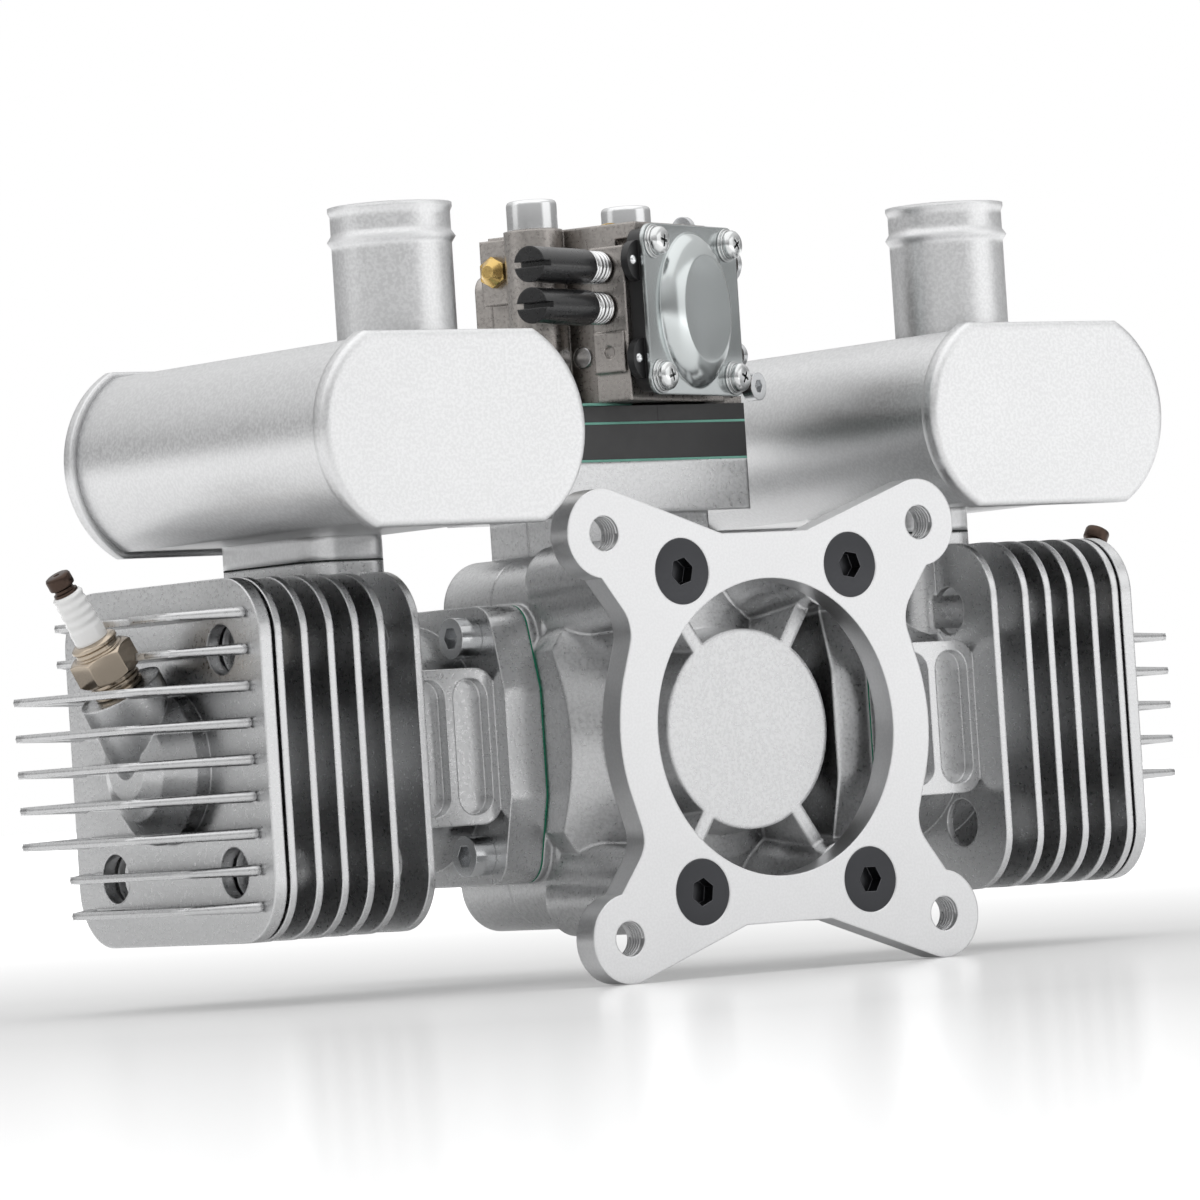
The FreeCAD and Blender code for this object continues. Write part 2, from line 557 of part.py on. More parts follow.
def crankcase_front():
    pieces = case_block("front")
    pieces.append(turned("front_bell", [
        ("0", "front_bell_y"), ("bell_r", "front_bell_y"),
        ("nose_barrel_r", "front_bell_y+front_bell_long"), ("nose_barrel_r", "nose_barrel_y"),
        ("nose_r", "nose_race_y"), ("nose_r", "nose_y"), ("0", "nose_y")], axis="y"))
    for i in range(int(value_of("gusset_count"))):
        gusset = prism("front_gusset", [("0", "front_bell_y"), ("bell_r", "front_bell_y"),
                                        ("nose_r", "nose_race_y"), ("0", "nose_race_y")],
                       "gusset_thick", ("0", "0", "-gusset_thick/2"))
        pieces.append(turned_about_y(gusset, f"({i}+1/2)*360/gusset_count"))
    blank = joined("front_blank", pieces)
    ahead = box("front_side", ("-deck_x", "split_y", "-far"), ("deck_x", "far", "far"))
    half = overlap("front_half", [blank, ahead])
    end = chamber_end()
    race = f"{end}+race_wall"
    profile = [("0", f"{end}-over"), ("front_race_r-race_lip", f"{end}-over"),
               ("front_race_r-race_lip", race), ("front_race_r", race),
               ("front_race_r", f"{race}+front_race_wide"),
               ("nose_race_r-race_lip", f"{race}+front_race_wide"),
               ("nose_race_r-race_lip", "nose_race_y"), ("nose_race_r", "nose_race_y"),
               ("nose_race_r", "nose_y+over"), ("0", "nose_y+over")]
    tools = case_hollows("front") + [turned("front_bore", profile, axis="y")]
    for x, z in case_bolt_places():
        tools.append(rod("bolt_head_space", "case_bolt_head_r+head_room",
                         "far", (x, "split_y+block_half_y", z), "y"))
    node(cut("crankcase_front", half, tools), "crankcase_front")


def crankcase_bolts():
    bolts = []
    for x, z in case_bolt_places():
        at = (x, "split_y+block_half_y", z)
        bolts.append(socket_screw("case_bolt", "case_bolt_head_r", "case_bolt_head",
                                  "case_bolt_r", "2*block_half_y-case_bolt_end-case_bolt_gap",
                                  "case_bolt_socket", at, "y"))
    node(group("crankcase_bolts", bolts), "crankcase_bolts")


# Bearings and seal
def bearing(label, shaft_r, race_r, wide, y):
    """An outer race with its balls, and the inner race that turns with the shaft."""
    outer = ring(label + "_race", race_r, f"{race_r}-race_thick", wide, ("0", y, "0"), "y")
    inner = ring(label + "_inner", f"{shaft_r}+race_thick", shaft_r, wide, ("0", y, "0"),
                 "y")
    middle = f"({shaft_r}+{race_r})/2"
    ball_r = f"({race_r}-{shaft_r})/2-race_thick-ball_gap"
    balls = []
    for i in range(int(value_of("ball_count"))):
        ball = doc.addObject("Part::Sphere", f"{label}_ball")
        angle = f"({i}*360/ball_count*1deg)"
        bind(ball, Radius=ball_r)
        balls.append(place(ball, (f"({middle})*cos({angle})", f"{y}+{wide}/2",
                                  f"({middle})*sin({angle})")))
    node(group(label, [outer] + balls), label)
    return inner


def bearings():
    race = f"{chamber_end()}+race_wall"
    inners = [
        bearing("rear_bearing", "rear_shaft_r", "rear_race_r", "rear_race_wide",
                "(disc_y+disc_wall)"),
        bearing("front_bearing", "front_shaft_r", "front_race_r", "front_race_wide",
                f"({race})"),
        bearing("nose_bearing", "nose_shaft_r", "nose_race_r", "nose_race_wide",
                "nose_race_y"),
    ]
    node(group("bearing_inner_races", inners), "bearing_inner_races")
    node(ring("shaft_seal", "nose_race_r", "nose_shaft_r+fit_gap", "seal_wide",
              ("0", "nose_race_y+nose_race_wide+seal_gap", "0"), "y"), "shaft_seal")


# Crank train
def web_cuts(name, y, signs):
    """The corners cut off a crank web beside its pin, which leave the counterweight."""
    cuts = []
    for sx in signs:
        for sz in (-1, 1):
            near_x, near_z = f"({sx})*web_notch_x", f"({sz})*web_notch_z"
            out_x, out_z = f"({sx})*web_r*2", f"({sz})*web_r*2"
            low_x, high_x = (near_x, out_x) if sx > 0 else (out_x, near_x)
            low_z, high_z = (near_z, out_z) if sz > 0 else (out_z, near_z)
            cuts.append(box(name + "_corner", (low_x, y, low_z),
                            (high_x, f"{y}+2*web_thick", high_z)))
    return cuts


def crankshaft():
    rear_y = "(split_y-stagger/2-pin_gap/2-web_thick)"
    front_y = "(split_y+stagger/2+pin_gap/2)"
    bearing_y = "(disc_y+disc_wall)"
    rear = joined("rear_web_blank", [
        rod("rear_web", "web_r", "web_thick", ("0", rear_y, "0"), "y"),
        rod("rear_stub", "rear_shaft_r", f"{rear_y}-{bearing_y}+over",
            ("0", f"{bearing_y}", "0"), "y")])
    rear_cuts = web_cuts("rear_web", rear_y, [1])
    node(cut("crankshaft_rear", rear, rear_cuts), "crankshaft_rear")
    middle = rod("centre_web_disc", "web_r", "stagger-pin_gap",
                 ("0", "split_y-(stagger-pin_gap)/2", "0"), "y")
    slots = []
    for low, high in (("-2*web_r", "-web_flat_x"), ("web_flat_x", "2*web_r")):
        slots.append(box("centre_web_flat", (low, "split_y-stagger", "-2*web_r"),
                         (high, "split_y+stagger", "2*web_r")))
    node(cut("crankshaft_centre_web", middle, slots), "crankshaft_centre_web")
    hub_y = "(nose_y+hub_gap)"
    end_y = f"({hub_y}+hub_boss_long+hub_thick-hub_end_gap)"
    shaft = joined("front_web_blank", [
        rod("front_web", "web_r", "web_thick", ("0", front_y, "0"), "y"),
        rod("main_shaft", "front_shaft_r", f"nose_barrel_y+over-{front_y}",
            ("0", front_y, "0"), "y"),
        rod("nose_shaft", "nose_shaft_r", f"{hub_y}-{front_y}", ("0", front_y, "0"), "y"),
        rod("hub_shaft", "hub_seat_r", f"{end_y}-{front_y}", ("0", front_y, "0"), "y")])
    thread = rod("shaft_thread", "hub_bolt_r", "hub_bolt_long",
                 ("0", f"{end_y}-hub_bolt_long", "0"), "y")
    front_cuts = web_cuts("front_web", front_y, [-1])
    node(cut("crankshaft_front", shaft, [thread] + front_cuts), "crankshaft_front")


def propeller_hub():
    hub_y = "(nose_y+hub_gap)"
    face_y = f"({hub_y}+hub_boss_long+hub_thick)"
    blank = joined("hub_blank", [
        rod("hub_boss", "hub_boss_r", "hub_boss_long+hub_thick", ("0", hub_y, "0"), "y"),
        rod("hub_flange", "hub_r", "hub_thick", ("0", f"{hub_y}+hub_boss_long", "0"), "y")])
    tools = [rod("hub_seat", "hub_seat_r", "far", ("0", "nose_y", "0"), "y"),
             rod("hub_recess_cut", "hub_recess_r", "far", ("0", f"{face_y}-hub_recess", "0"),
                 "y")]
    for i in range(int(value_of("prop_hole_count"))):
        angle = f"({i}*360/prop_hole_count*1deg)"
        at = (f"prop_circle_r*cos({angle})", hub_y, f"prop_circle_r*sin({angle})")
        tools.append(rod("prop_hole", "prop_hole_r", "far", at, "y"))
    node(cut("propeller_hub", blank, tools), "propeller_hub")
    seat_y = f"({face_y}-hub_recess)"
    washer = ring("hub_washer", "hub_washer_r", "hub_bolt_r", "hub_washer_thick",
                  ("0", seat_y, "0"), "y")
    bolt = socket_screw("hub_bolt", "hub_bolt_head_r", "hub_bolt_head", "hub_bolt_r",
                        "hub_bolt_long", "hub_bolt_socket",
                        ("0", f"{seat_y}+hub_washer_thick", "0"), "y")
    node(group("hub_bolt_and_washer", [washer, bolt]), "hub_bolt_and_washer")


def crank_train(side):
    """One crankpin, rod and piston, at top dead centre."""
    pin_wide = "pin_gap-2*pin_end_gap"
    pin = rod("pin_rod", "crankpin_r", pin_wide,
              ("stroke/2", f"-({pin_wide})/2", "0"), "y")
    node(on_cylinder(group(f"crankpin_{side}_set", [pin]), side), f"crankpin_{side}")
    rod_wide = "(pin_gap-2*rod_side_gap)"
    small_x = "(stroke/2+rod_long)"
    big = rod("big_end", "crankpin_r+big_end_wall", rod_wide,
              ("stroke/2", f"-{rod_wide}/2", "0"), "y")
    small = rod("small_end", "wrist_r+small_end_wall", rod_wide,
                (small_x, f"-{rod_wide}/2", "0"), "y")
    half_wide = f"({rod_wide}/2-beam_inset)"
    beam = prism("rod_beam", rectangle(half_wide, "beam_half"), "rod_long",
                 ("stroke/2", "0", "0"), "x")
    flutes = []
    for low, high in ((f"-{half_wide}-over", f"-{half_wide}+flute_deep"),
                      (f"{half_wide}-flute_deep", f"{half_wide}+over")):
        flutes.append(box("rod_flute", ("stroke/2+flute_start", low, "-flute_half"),
                          (f"{small_x}-flute_end", high, "flute_half")))
    eyes = [rod("big_eye", "crankpin_r+fit_gap", "far", ("stroke/2", "-far/2", "0"), "y"),
            rod("small_eye", "wrist_r", "far", (small_x, "-far/2", "0"), "y")]
    conrod = cut(f"conrod_{side}_cut", joined("rod_blank", [big, small, beam]),
                 flutes + eyes)
    node(on_cylinder(group(f"conrod_{side}_set", [conrod]), side), f"conrod_{side}")
    piston_and_rings(side, small_x)


def piston_and_rings(side, small_x):
    crown_x = f"({small_x}+crown_high)"
    skirt_x = f"({crown_x}-piston_long)"
    blank = rod("piston_blank", "cyl_bore_r-piston_gap", "piston_long",
                (skirt_x, "0", "0"), "x")
    inside = rod("piston_inside", "cyl_bore_r-piston_wall", "piston_long-crown_thick",
                 (skirt_x, "0", "0"), "x")
    bosses = [rod("pin_boss", "pin_boss_r", "cyl_bore_r-pin_boss_in",
                  (small_x, "pin_boss_in", "0"), "y"),
              rod("pin_boss", "pin_boss_r", "cyl_bore_r-pin_boss_in",
                  (small_x, "-cyl_bore_r", "0"), "y")]
    shell = cut("piston_shell", blank, [inside])
    filled = overlap("piston_bosses", [joined("boss_pair", bosses), blank])
    tools = [rod("pin_hole", "wrist_r", "far", (small_x, "-far/2", "0"), "y")]
    rings = []
    for count in (1, 2):
        low_x = f"{crown_x}-{count}*ring_drop"
        high = "(ring_high+2*groove_gap)"
        outer = rod("groove_outer", "cyl_bore_r+over", high, (low_x, "0", "0"), "x")
        inner = rod("groove_inner", "cyl_bore_r-ring_deep", high, (low_x, "0", "0"), "x")
        tools.append(cut("ring_groove", outer, [inner]))
        rings.append(ring("piston_ring", "cyl_bore_r-piston_gap/2", "cyl_bore_r-ring_deep",
                          "ring_high", (f"{low_x}+groove_gap", "0", "0"), "x"))
    piston = cut(f"piston_{side}_cut", joined("piston_solid", [shell, filled]), tools)
    node(on_cylinder(group(f"piston_{side}_set", [piston]), side), f"piston_{side}")
    node(on_cylinder(group(f"piston_rings_{side}_set", rings), side),
         f"piston_rings_{side}")
    pin_half = "(cyl_bore_r-wrist_short)"
    wrist = ring("wrist_pin", "wrist_r", "wrist_bore_r", f"2*{pin_half}",
                 (small_x, f"-{pin_half}", "0"), "y")
    node(on_cylinder(group(f"wrist_pin_{side}_set", [wrist]), side), f"wrist_pin_{side}")


# Cylinders
def head_fin(name, z, tip):
    """A head fin lies flat: a trapezoid in plan, long at its root."""
    root = "head_x-head_plate_thick/2"
    half = "fin_root_half"
    end = "fin_tip_half"
    points = [(root, f"-({half})"), (tip, f"-({end})"), (tip, end), (root, half)]
    return prism(name, points, "head_fin_thick", ("0", "0", f"{z}-head_fin_thick/2"))


def tilted(piece):
    """Set a piece drawn up its own z on the spark plug's axis, with its seat at zero."""
    carrier = doc.addObject("Part::Compound", piece.Name + "_tilted")
    carrier.Links = [piece]
    carrier.Placement = FreeCAD.Placement(
        FreeCAD.Vector(), FreeCAD.Rotation(FreeCAD.Vector(0, 1, 0), value_of("plug_tilt")))
    bind(carrier, Placement__Base__x="plug_x", Placement__Base__z="plug_z",
         Placement__Rotation__Angle="plug_tilt")
    return carrier


def cylinder(side):
    flange_x = "(deck_x+gasket_thick)"
    pieces = [
        prism("cyl_flange", flange_outline(), "flange_thick", (flange_x, "0", "0"), "x",
              corner="flange_round"),
        rod("cyl_spigot", "spigot_r", "spigot_long+over",
            (f"{flange_x}-spigot_long-gasket_thick", "0", "0"), "x"),
        rod("cyl_neck", "neck_r", f"head_x-{flange_x}", (flange_x, "0", "0"), "x"),
        prism("head_plate", rectangle("fin_half", "fin_half"), "head_plate_thick",
              ("head_x-head_plate_thick", "0", "0"), "x", corner="fin_round"),
        prism("first_fin", rectangle("fin_half", "fin_half"), "fin_thick",
              ("first_fin", "0", "0"), "x", corner="fin_round"),
    ]
    for i in range(int(value_of("fin_count"))):
        pieces.append(prism("cyl_fin", rectangle("fin_half", "fin_half"), "fin_thick",
                            (f"second_fin+{i}*fin_pitch", "0", "0"), "x",
                            corner="fin_round"))
    most = int(value_of("head_fin_side"))
    for i in range(-most, most + 1):
        tip = "long_fin_tip" if abs(i) <= value_of("long_fin_side") else "short_fin_tip"
        pieces.append(head_fin("head_fin", f"({i})*head_fin_pitch", tip))
    pieces.append(turned("head_dome", [
        ("0", "-over"), ("dome_r", "-over"), ("dome_r", "dome_high/3"),
        ("dome_top_r", "dome_high*dome_shoulder"), ("dome_top_r*dome_flat", "dome_high"),
        ("0", "dome_high")], ("head_x", "0", "0"), "x"))
    pieces.append(tilted(rod("plug_boss", "plug_seat_r+boss_wall", "boss_drop",
                             ("0", "0", "-boss_drop"))))
    neck = prism("exhaust_neck", rectangle("(neck_out_x-neck_in_x)/2", "neck_half_y"),
                 "neck_top_z-neck_foot_z", ("(neck_in_x+neck_out_x)/2", "0", "neck_foot_z"),
                 corner="neck_corner")
    pieces.append(neck)
    bulge_x = f"({flange_x}+flange_thick+first_fin)/2"
    bulge_long = f"(first_fin+over-{flange_x}-flange_thick)"
    recesses = []
    for axis, sign in (("y", 1), ("-y", -1)):
        pieces.append(prism("transfer_bulge", rectangle(f"{bulge_long}/2", "bulge_half_z"),
                            "bulge_y", (bulge_x, "0", "0"), axis, corner="bulge_round"))
        for step in (-1, 1):
            recesses.append(prism("bulge_recess", rectangle("recess_wide/2", "recess_half_z"),
                                  "recess_deep+over",
                                  (f"{bulge_x}+({step})*recess_step",
                                   f"({sign})*(bulge_y-recess_deep)", "0"), axis,
                                  corner="recess_round"))
    blank = joined("cyl_blank", pieces)
    bore_x = "(deck_x-spigot_long-over)"
    crown_x = "(stroke/2+rod_long+crown_high+squish)"
    tools = [
        rod("cyl_bore", "cyl_bore_r", f"{crown_x}-({bore_x})", (bore_x, "0", "0"), "x"),
        cone("cyl_chamber", "cyl_bore_r", "chamber_top_r", "chamber_deep",
             (crown_x, "0", "0"), "x"),
        tilted(rod("plug_thread", "plug_thread_r", "plug_reach+3*over",
                   ("0", "0", "-plug_reach-2*over"))),
        tilted(rod("plug_space", "plug_seat_r+boss_wall+plug_room", "plug_clear")),
        box("exhaust_port", ("port_in_x", "-port_out_half", "port_foot_z"),
            ("port_out_x", "port_out_half", "neck_top_z+over")),
    ] + recesses
    for sy, sz in FOUR:
        y, z = f"({sy})*base_screw_y", f"({sz})*base_screw_z"
        tools.append(rod("access_hole", "access_r", "head_x-first_fin+2*over",
                         ("first_fin-over", y, z), "x"))
        tools.append(rod("base_hole", "base_screw_r+screw_gap", "flange_thick+2*over",
                         (f"{flange_x}-over", y, z), "x"))
        tools.append(rod("base_head_space", "base_head_r+head_room", "head_space",
                         (f"{flange_x}+flange_thick", y, z), "x"))
    for low, high in (("-transfer_out_y", "-transfer_in_y"),
                      ("transfer_in_y", "transfer_out_y")):
        tools.append(box("transfer_port", (f"{bore_x}-over", low, "-transfer_wide/2"),
                         ("port_in_x+transfer_past", high, "transfer_wide/2")))
    node(on_cylinder(group(f"cylinder_{side}_set", [cut("cyl_cut", blank, tools)]), side),
         f"cylinder_{side}")


def cylinder_hardware():
    gaskets = []
    screws = []
    for side in SIDES:
        sheet_blank = prism("base_gasket", flange_outline(), "gasket_thick",
                            ("deck_x", "0", "0"), "x", corner="flange_round")
        holes = [rod("gasket_bore", "spigot_r", "gasket_thick+2*over",
                     ("deck_x-over", "0", "0"), "x")]
        for sy, sz in FOUR:
            y, z = f"({sy})*base_screw_y", f"({sz})*base_screw_z"
            holes.append(rod("gasket_hole", "base_screw_r", "gasket_thick+2*over",
                             ("deck_x-over", y, z), "x"))
            screw = socket_screw("base_screw", "base_head_r", "base_head", "base_screw_r",
                                 "base_screw_long", "base_socket",
                                 ("deck_x+gasket_thick+flange_thick", y, z), "x")
            screws.append(on_cylinder(group("base_screw_set", [screw]), side))
        gaskets.append(on_cylinder(group("base_gasket_set", [cut("gasket_cut", sheet_blank,
                                                                 holes)]), side))
    node(group("base_gaskets", gaskets), "base_gaskets")
    node(group("base_screws", screws), "base_screws")


def spark_plug(side):
    """Shell, ribbed ceramic and terminal, all on the plug's own axis."""
    hex_z = "(plug_washer+plug_collar_long)"
    shell_top = f"({hex_z}+plug_hex_long)"
    foot_z = f"({shell_top}+plug_crimp)"
    shell = joined("plug_shell_blank", [
        rod("plug_barrel", "plug_thread_r-fit_gap", "plug_reach+over",
            ("0", "0", "-plug_reach")),
        rod("plug_washer", "plug_seat_r", "plug_washer"),
        rod("plug_collar", "plug_collar_r", "plug_collar_long+over",
            ("0", "0", "plug_washer")),
        hexagon("plug_hexagon", "plug_hex", "plug_hex_long", ("0", "0", hex_z)),
        cone("plug_crimp", "crimp_r", "ceramic_r+crimp_wall", "plug_crimp",
             ("0", "0", shell_top))])
    core = rod("plug_core", "ceramic_r-plug_core_wall", f"{shell_top}+plug_reach+over",
               ("0", "0", "-plug_reach-over"))
    socket = rod("plug_socket", "ceramic_r", "plug_hex_long+plug_crimp+over",
                 ("0", "0", hex_z))
    shell_cut = cut(f"plug_shell_{side}_cut", shell, [core, socket])
    foot = "-plug_reach+plug_foot"
    top = f"({foot_z}+ceramic_long)"
    waist = "(ceramic_r-plug_core_wall)"
    profile = [
        ("ceramic_bore_r", foot), (f"{waist}-plug_foot", foot), (waist, "-plug_inside"),
        (waist, hex_z), ("ceramic_r", hex_z), ("ceramic_r", f"{foot_z}+ceramic_plain")]
    for i in range(int(value_of("ceramic_waves"))):
        low = f"{foot_z}+ceramic_plain+{i}*ceramic_wave"
        crest = f"ceramic_r-ceramic_dip-{i}*ceramic_thin"
        profile += [(f"{crest}-ceramic_dip", f"{low}+ceramic_wave/2"),
                    (crest, f"{low}+ceramic_wave")]
    profile += [("ceramic_r-ceramic_waves*ceramic_thin-ceramic_dip", top),
                ("ceramic_bore_r", top)]
    ceramic = turned("plug_ceramic", profile)
    terminal = joined("plug_terminal_blank", [
        rod("plug_wire", "ceramic_bore_r", f"{top}+plug_reach+over",
            ("0", "0", "-plug_reach")),
        rod("plug_cap", "terminal_r", "terminal_long", ("0", "0", top))])
    node(on_cylinder(group(f"plug_shell_{side}", [tilted(shell_cut)]), side),
         f"spark_plug_shell_{side}")
    node(on_cylinder(group(f"plug_ceramic_{side}", [tilted(ceramic)]), side),
         f"spark_plug_insulator_{side}")
    return on_cylinder(group(f"plug_terminal_{side}", [tilted(terminal)]), side)


# Exhaust
def muffler_section(name, x, half_x, half_z, flat, long_formula, start_y):
    """A tube of flat top and bottom with bulged sides, solid from end to end."""
    side_r = f"((({half_x})-({flat}))^2+({half_z})^2)/(2*(({half_x})-({flat})))"
    middle = box(name + "_middle", (f"{x}-({flat})", start_y, f"muffler_z-({half_z})"),
                 (f"{x}+({flat})", f"{start_y}+{long_formula}", f"muffler_z+({half_z})"))
    rounds = [rod(name + "_side", side_r, long_formula,
                  (f"{x}{sign}(({half_x})-{side_r})", start_y, "muffler_z"), "y")
              for sign in ("+", "-")]
    band = box(name + "_band", (f"{x}-({half_x})", start_y, f"muffler_z-({half_z})"),
               (f"{x}+({half_x})", f"{start_y}+{long_formula}", f"muffler_z+({half_z})"))
    return overlap(name, [joined(name + "_full", [middle] + rounds), band])


def exhaust_opening(name, side, top):
    """The port's outline over the cylinder's exhaust neck, cut up to a height."""
    sign = SIDES[side]
    near, away = f"({sign})*port_in_x", f"({sign})*port_out_x"
    low, high = (near, away) if sign > 0 else (away, near)
    return box(name, (low, f"{cylinder_y(side)}-port_out_half", "neck_top_z-over"),
               (high, f"{cylinder_y(side)}+port_out_half", top))


def muffler_span():
    """The rear end and the length of a muffler that reaches past both exhaust necks."""
    start = "(split_y-stagger/2-neck_half_y-muffler_rear)"
    return start, "(stagger+2*neck_half_y+muffler_rear+muffler_front)"


def muffler(side):
    sign = SIDES[side]
    rear_y, full_long = muffler_span()
    x = f"({sign})*muffler_x"
    start = f"({rear_y}+cap_thick)"
    length = f"({full_long}-2*cap_thick)"
    outer = muffler_section("muffler_outer", x, "muffler_half_x-lip_proud",
                            "muffler_half_z-lip_proud", "muffler_flat", length, start)
    foot_half = "(neck_out_x-neck_in_x)/2"
    foot_x = f"({sign})*(neck_in_x+neck_out_x)/2"
    foot_z = "neck_top_z+exhaust_gasket_thick"
    foot = prism("muffler_foot", rectangle(foot_half, "neck_half_y"),
                 f"muffler_z-({foot_z})", (foot_x, cylinder_y(side), foot_z),
                 corner="neck_corner")
    inner = muffler_section("muffler_inner", x, "muffler_half_x-lip_proud-muffler_wall",
                            "muffler_half_z-lip_proud-muffler_wall", "muffler_flat",
                            f"{length}+2*over", f"{start}-over")
    port = exhaust_opening("muffler_port", side, "muffler_z")
    outlet_hole = rod("muffler_outlet", "outlet_r", "muffler_half_z+over",
                      (f"({sign})*outlet_x", "outlet_y", "muffler_z"))
    shell = cut(f"muffler_body_{side}", joined("muffler_blank", [outer, foot]),
                [inner, port, outlet_hole])
    node(shell, f"muffler_body_{side}")
    caps = []
    for y, at_rear in ((rear_y, True), (f"{rear_y}+{full_long}-cap_deep", False)):
        cap = muffler_section("cap_outer", x, "muffler_half_x", "muffler_half_z",
                              "muffler_flat", "cap_deep", f"({y})")
        end_y = value_of(y if at_rear else f"({y})+cap_deep")
        def at_rim(edge):
            return abs(edge.BoundBox.YMin - end_y) + abs(edge.BoundBox.YMax - end_y) < 0.1
        cap = rounded("cap_rim", cap, "cap_round", at_rim)
        pocket_y = f"({y})+cap_thick" if at_rear else f"({y})-over"
        pocket = muffler_section("cap_pocket", x, "muffler_half_x-lip_proud",
                                 "muffler_half_z-lip_proud", "muffler_flat",
                                 "(cap_deep-cap_thick+over)", f"({pocket_y})")
        caps.append(cut("cap_cut", cap, [pocket]))
    node(group(f"muffler_caps_{side}", caps), f"muffler_end_caps_{side}")
    wall_z = "(muffler_z+muffler_half_z-lip_proud-muffler_wall)"
    top = f"(outlet_top_z-{wall_z})"
    bore = "outlet_r-outlet_wall"
    tube = turned(f"outlet_tube_{side}", [
        (bore, "0"), ("outlet_r", "0"), ("outlet_r", f"{top}-bead_drop-bead_high/2"),
        ("bead_r", f"{top}-bead_drop"), ("outlet_r", f"{top}-bead_drop+bead_high/2"),
        ("outlet_r", f"{top}-rim_high"), ("rim_r", f"{top}-rim_high/2"), ("rim_r", top),
        (bore, top)], (f"({sign})*outlet_x", "outlet_y", wall_z))
    node(tube, f"outlet_tube_{side}")


def exhaust_gaskets():
    pieces = []
    for side, sign in SIDES.items():
        x = f"({sign})*(neck_in_x+neck_out_x)/2"
        blank = prism("exhaust_sheet", rectangle("(neck_out_x-neck_in_x)/2", "neck_half_y"),
                      "exhaust_gasket_thick", (x, cylinder_y(side), "neck_top_z"),
                      corner="neck_corner")
        port = exhaust_opening("exhaust_sheet_port", side, "neck_top_z+over")
        pieces.append(cut("exhaust_gasket", blank, [port]))
    node(group("exhaust_gaskets", pieces), "exhaust_gaskets")


# Intake stack
def intake_slab(name, z, thick, round_hole=False):
    slab = box(name + "_slab", ("-intake_half_x", "split_y-intake_half_y", z),
               ("intake_half_x", "split_y+intake_half_y", f"{z}+{thick}"))
    if round_hole:
        at = ("throat_y*sin(carb_turn*1deg)", "split_y-throat_y*cos(carb_turn*1deg)",
              f"{z}-over")
        hole = rod(name + "_hole", "throat_r", f"{thick}+2*over", at)
    else:
        hole = box(name + "_hole", ("-port_half_x", "split_y-port_back-port_half_y",
                                    f"{z}-over"),
                   ("port_half_x", "split_y-port_back+port_half_y", f"{z}+{thick}+over"))
    return cut(name + "_cut", slab, [hole])


def intake_levels():
    """The height of each layer over the crankcase's intake face, as formulas."""
    reed = "(intake_z+sheet_thick)"
    second = f"({reed}+reed_thick)"
    spacer = f"({second}+sheet_thick)"
    third = f"({spacer}+spacer_thick)"
    carb = f"({third}+sheet_thick)"
    return {"first": "intake_z", "reed": reed, "second": second, "spacer": spacer,
            "third": third, "carb": carb}


def intake_stack():
    level = intake_levels()
    sheets = [intake_slab("lower_sheet", level["first"], "sheet_thick"),
              intake_slab("upper_sheet", level["second"], "sheet_thick", round_hole=True)]
    reed_body = intake_slab("reed_body", level["reed"], "reed_thick")
    node(intake_slab("spacer_body", level["spacer"], "spacer_thick", round_hole=True),
         "heat_spacer")
    petals = []
    for sign in (-1, 1):
        z = level["reed"]
        x = f"({sign})*port_half_x/2"
        petals.append(box("reed_petal", (f"{x}-port_half_x/2+petal_gap",
                                         "split_y-port_back-port_half_y", f"{z}+petal_drop"),
                          (f"{x}+port_half_x/2-petal_gap", "split_y-port_back+port_half_y",
                           f"{z}+petal_drop+reed_petal_thick")))
    node(group("reed_valve", [reed_body] + petals), "reed_valve")
    blank = prism("carb_sheet", rectangle("carb_bolt_x+carb_boss_r", "carb_back"),
                  "sheet_thick", ("0", "0", "-sheet_thick"), corner="carb_foot_round")
    hole = rod("carb_sheet_hole", "throat_r", "sheet_thick+2*over",
               ("0", "-throat_y", "-sheet_thick-over"))
    carb_sheet = in_carb(cut("carb_sheet_cut", blank, [hole]))
    node(group("intake_gaskets", sheets + [carb_sheet]), "intake_gaskets")


# Carburettor
def in_carb(piece):
    """Set a piece drawn about the throat axis onto the intake stack."""
    return set_in(piece, ("0", "split_y", intake_levels()["carb"]), "carb_turn")


def carb_pieces(label, pieces):
    node(in_carb(group(label + "_set", pieces)), label)


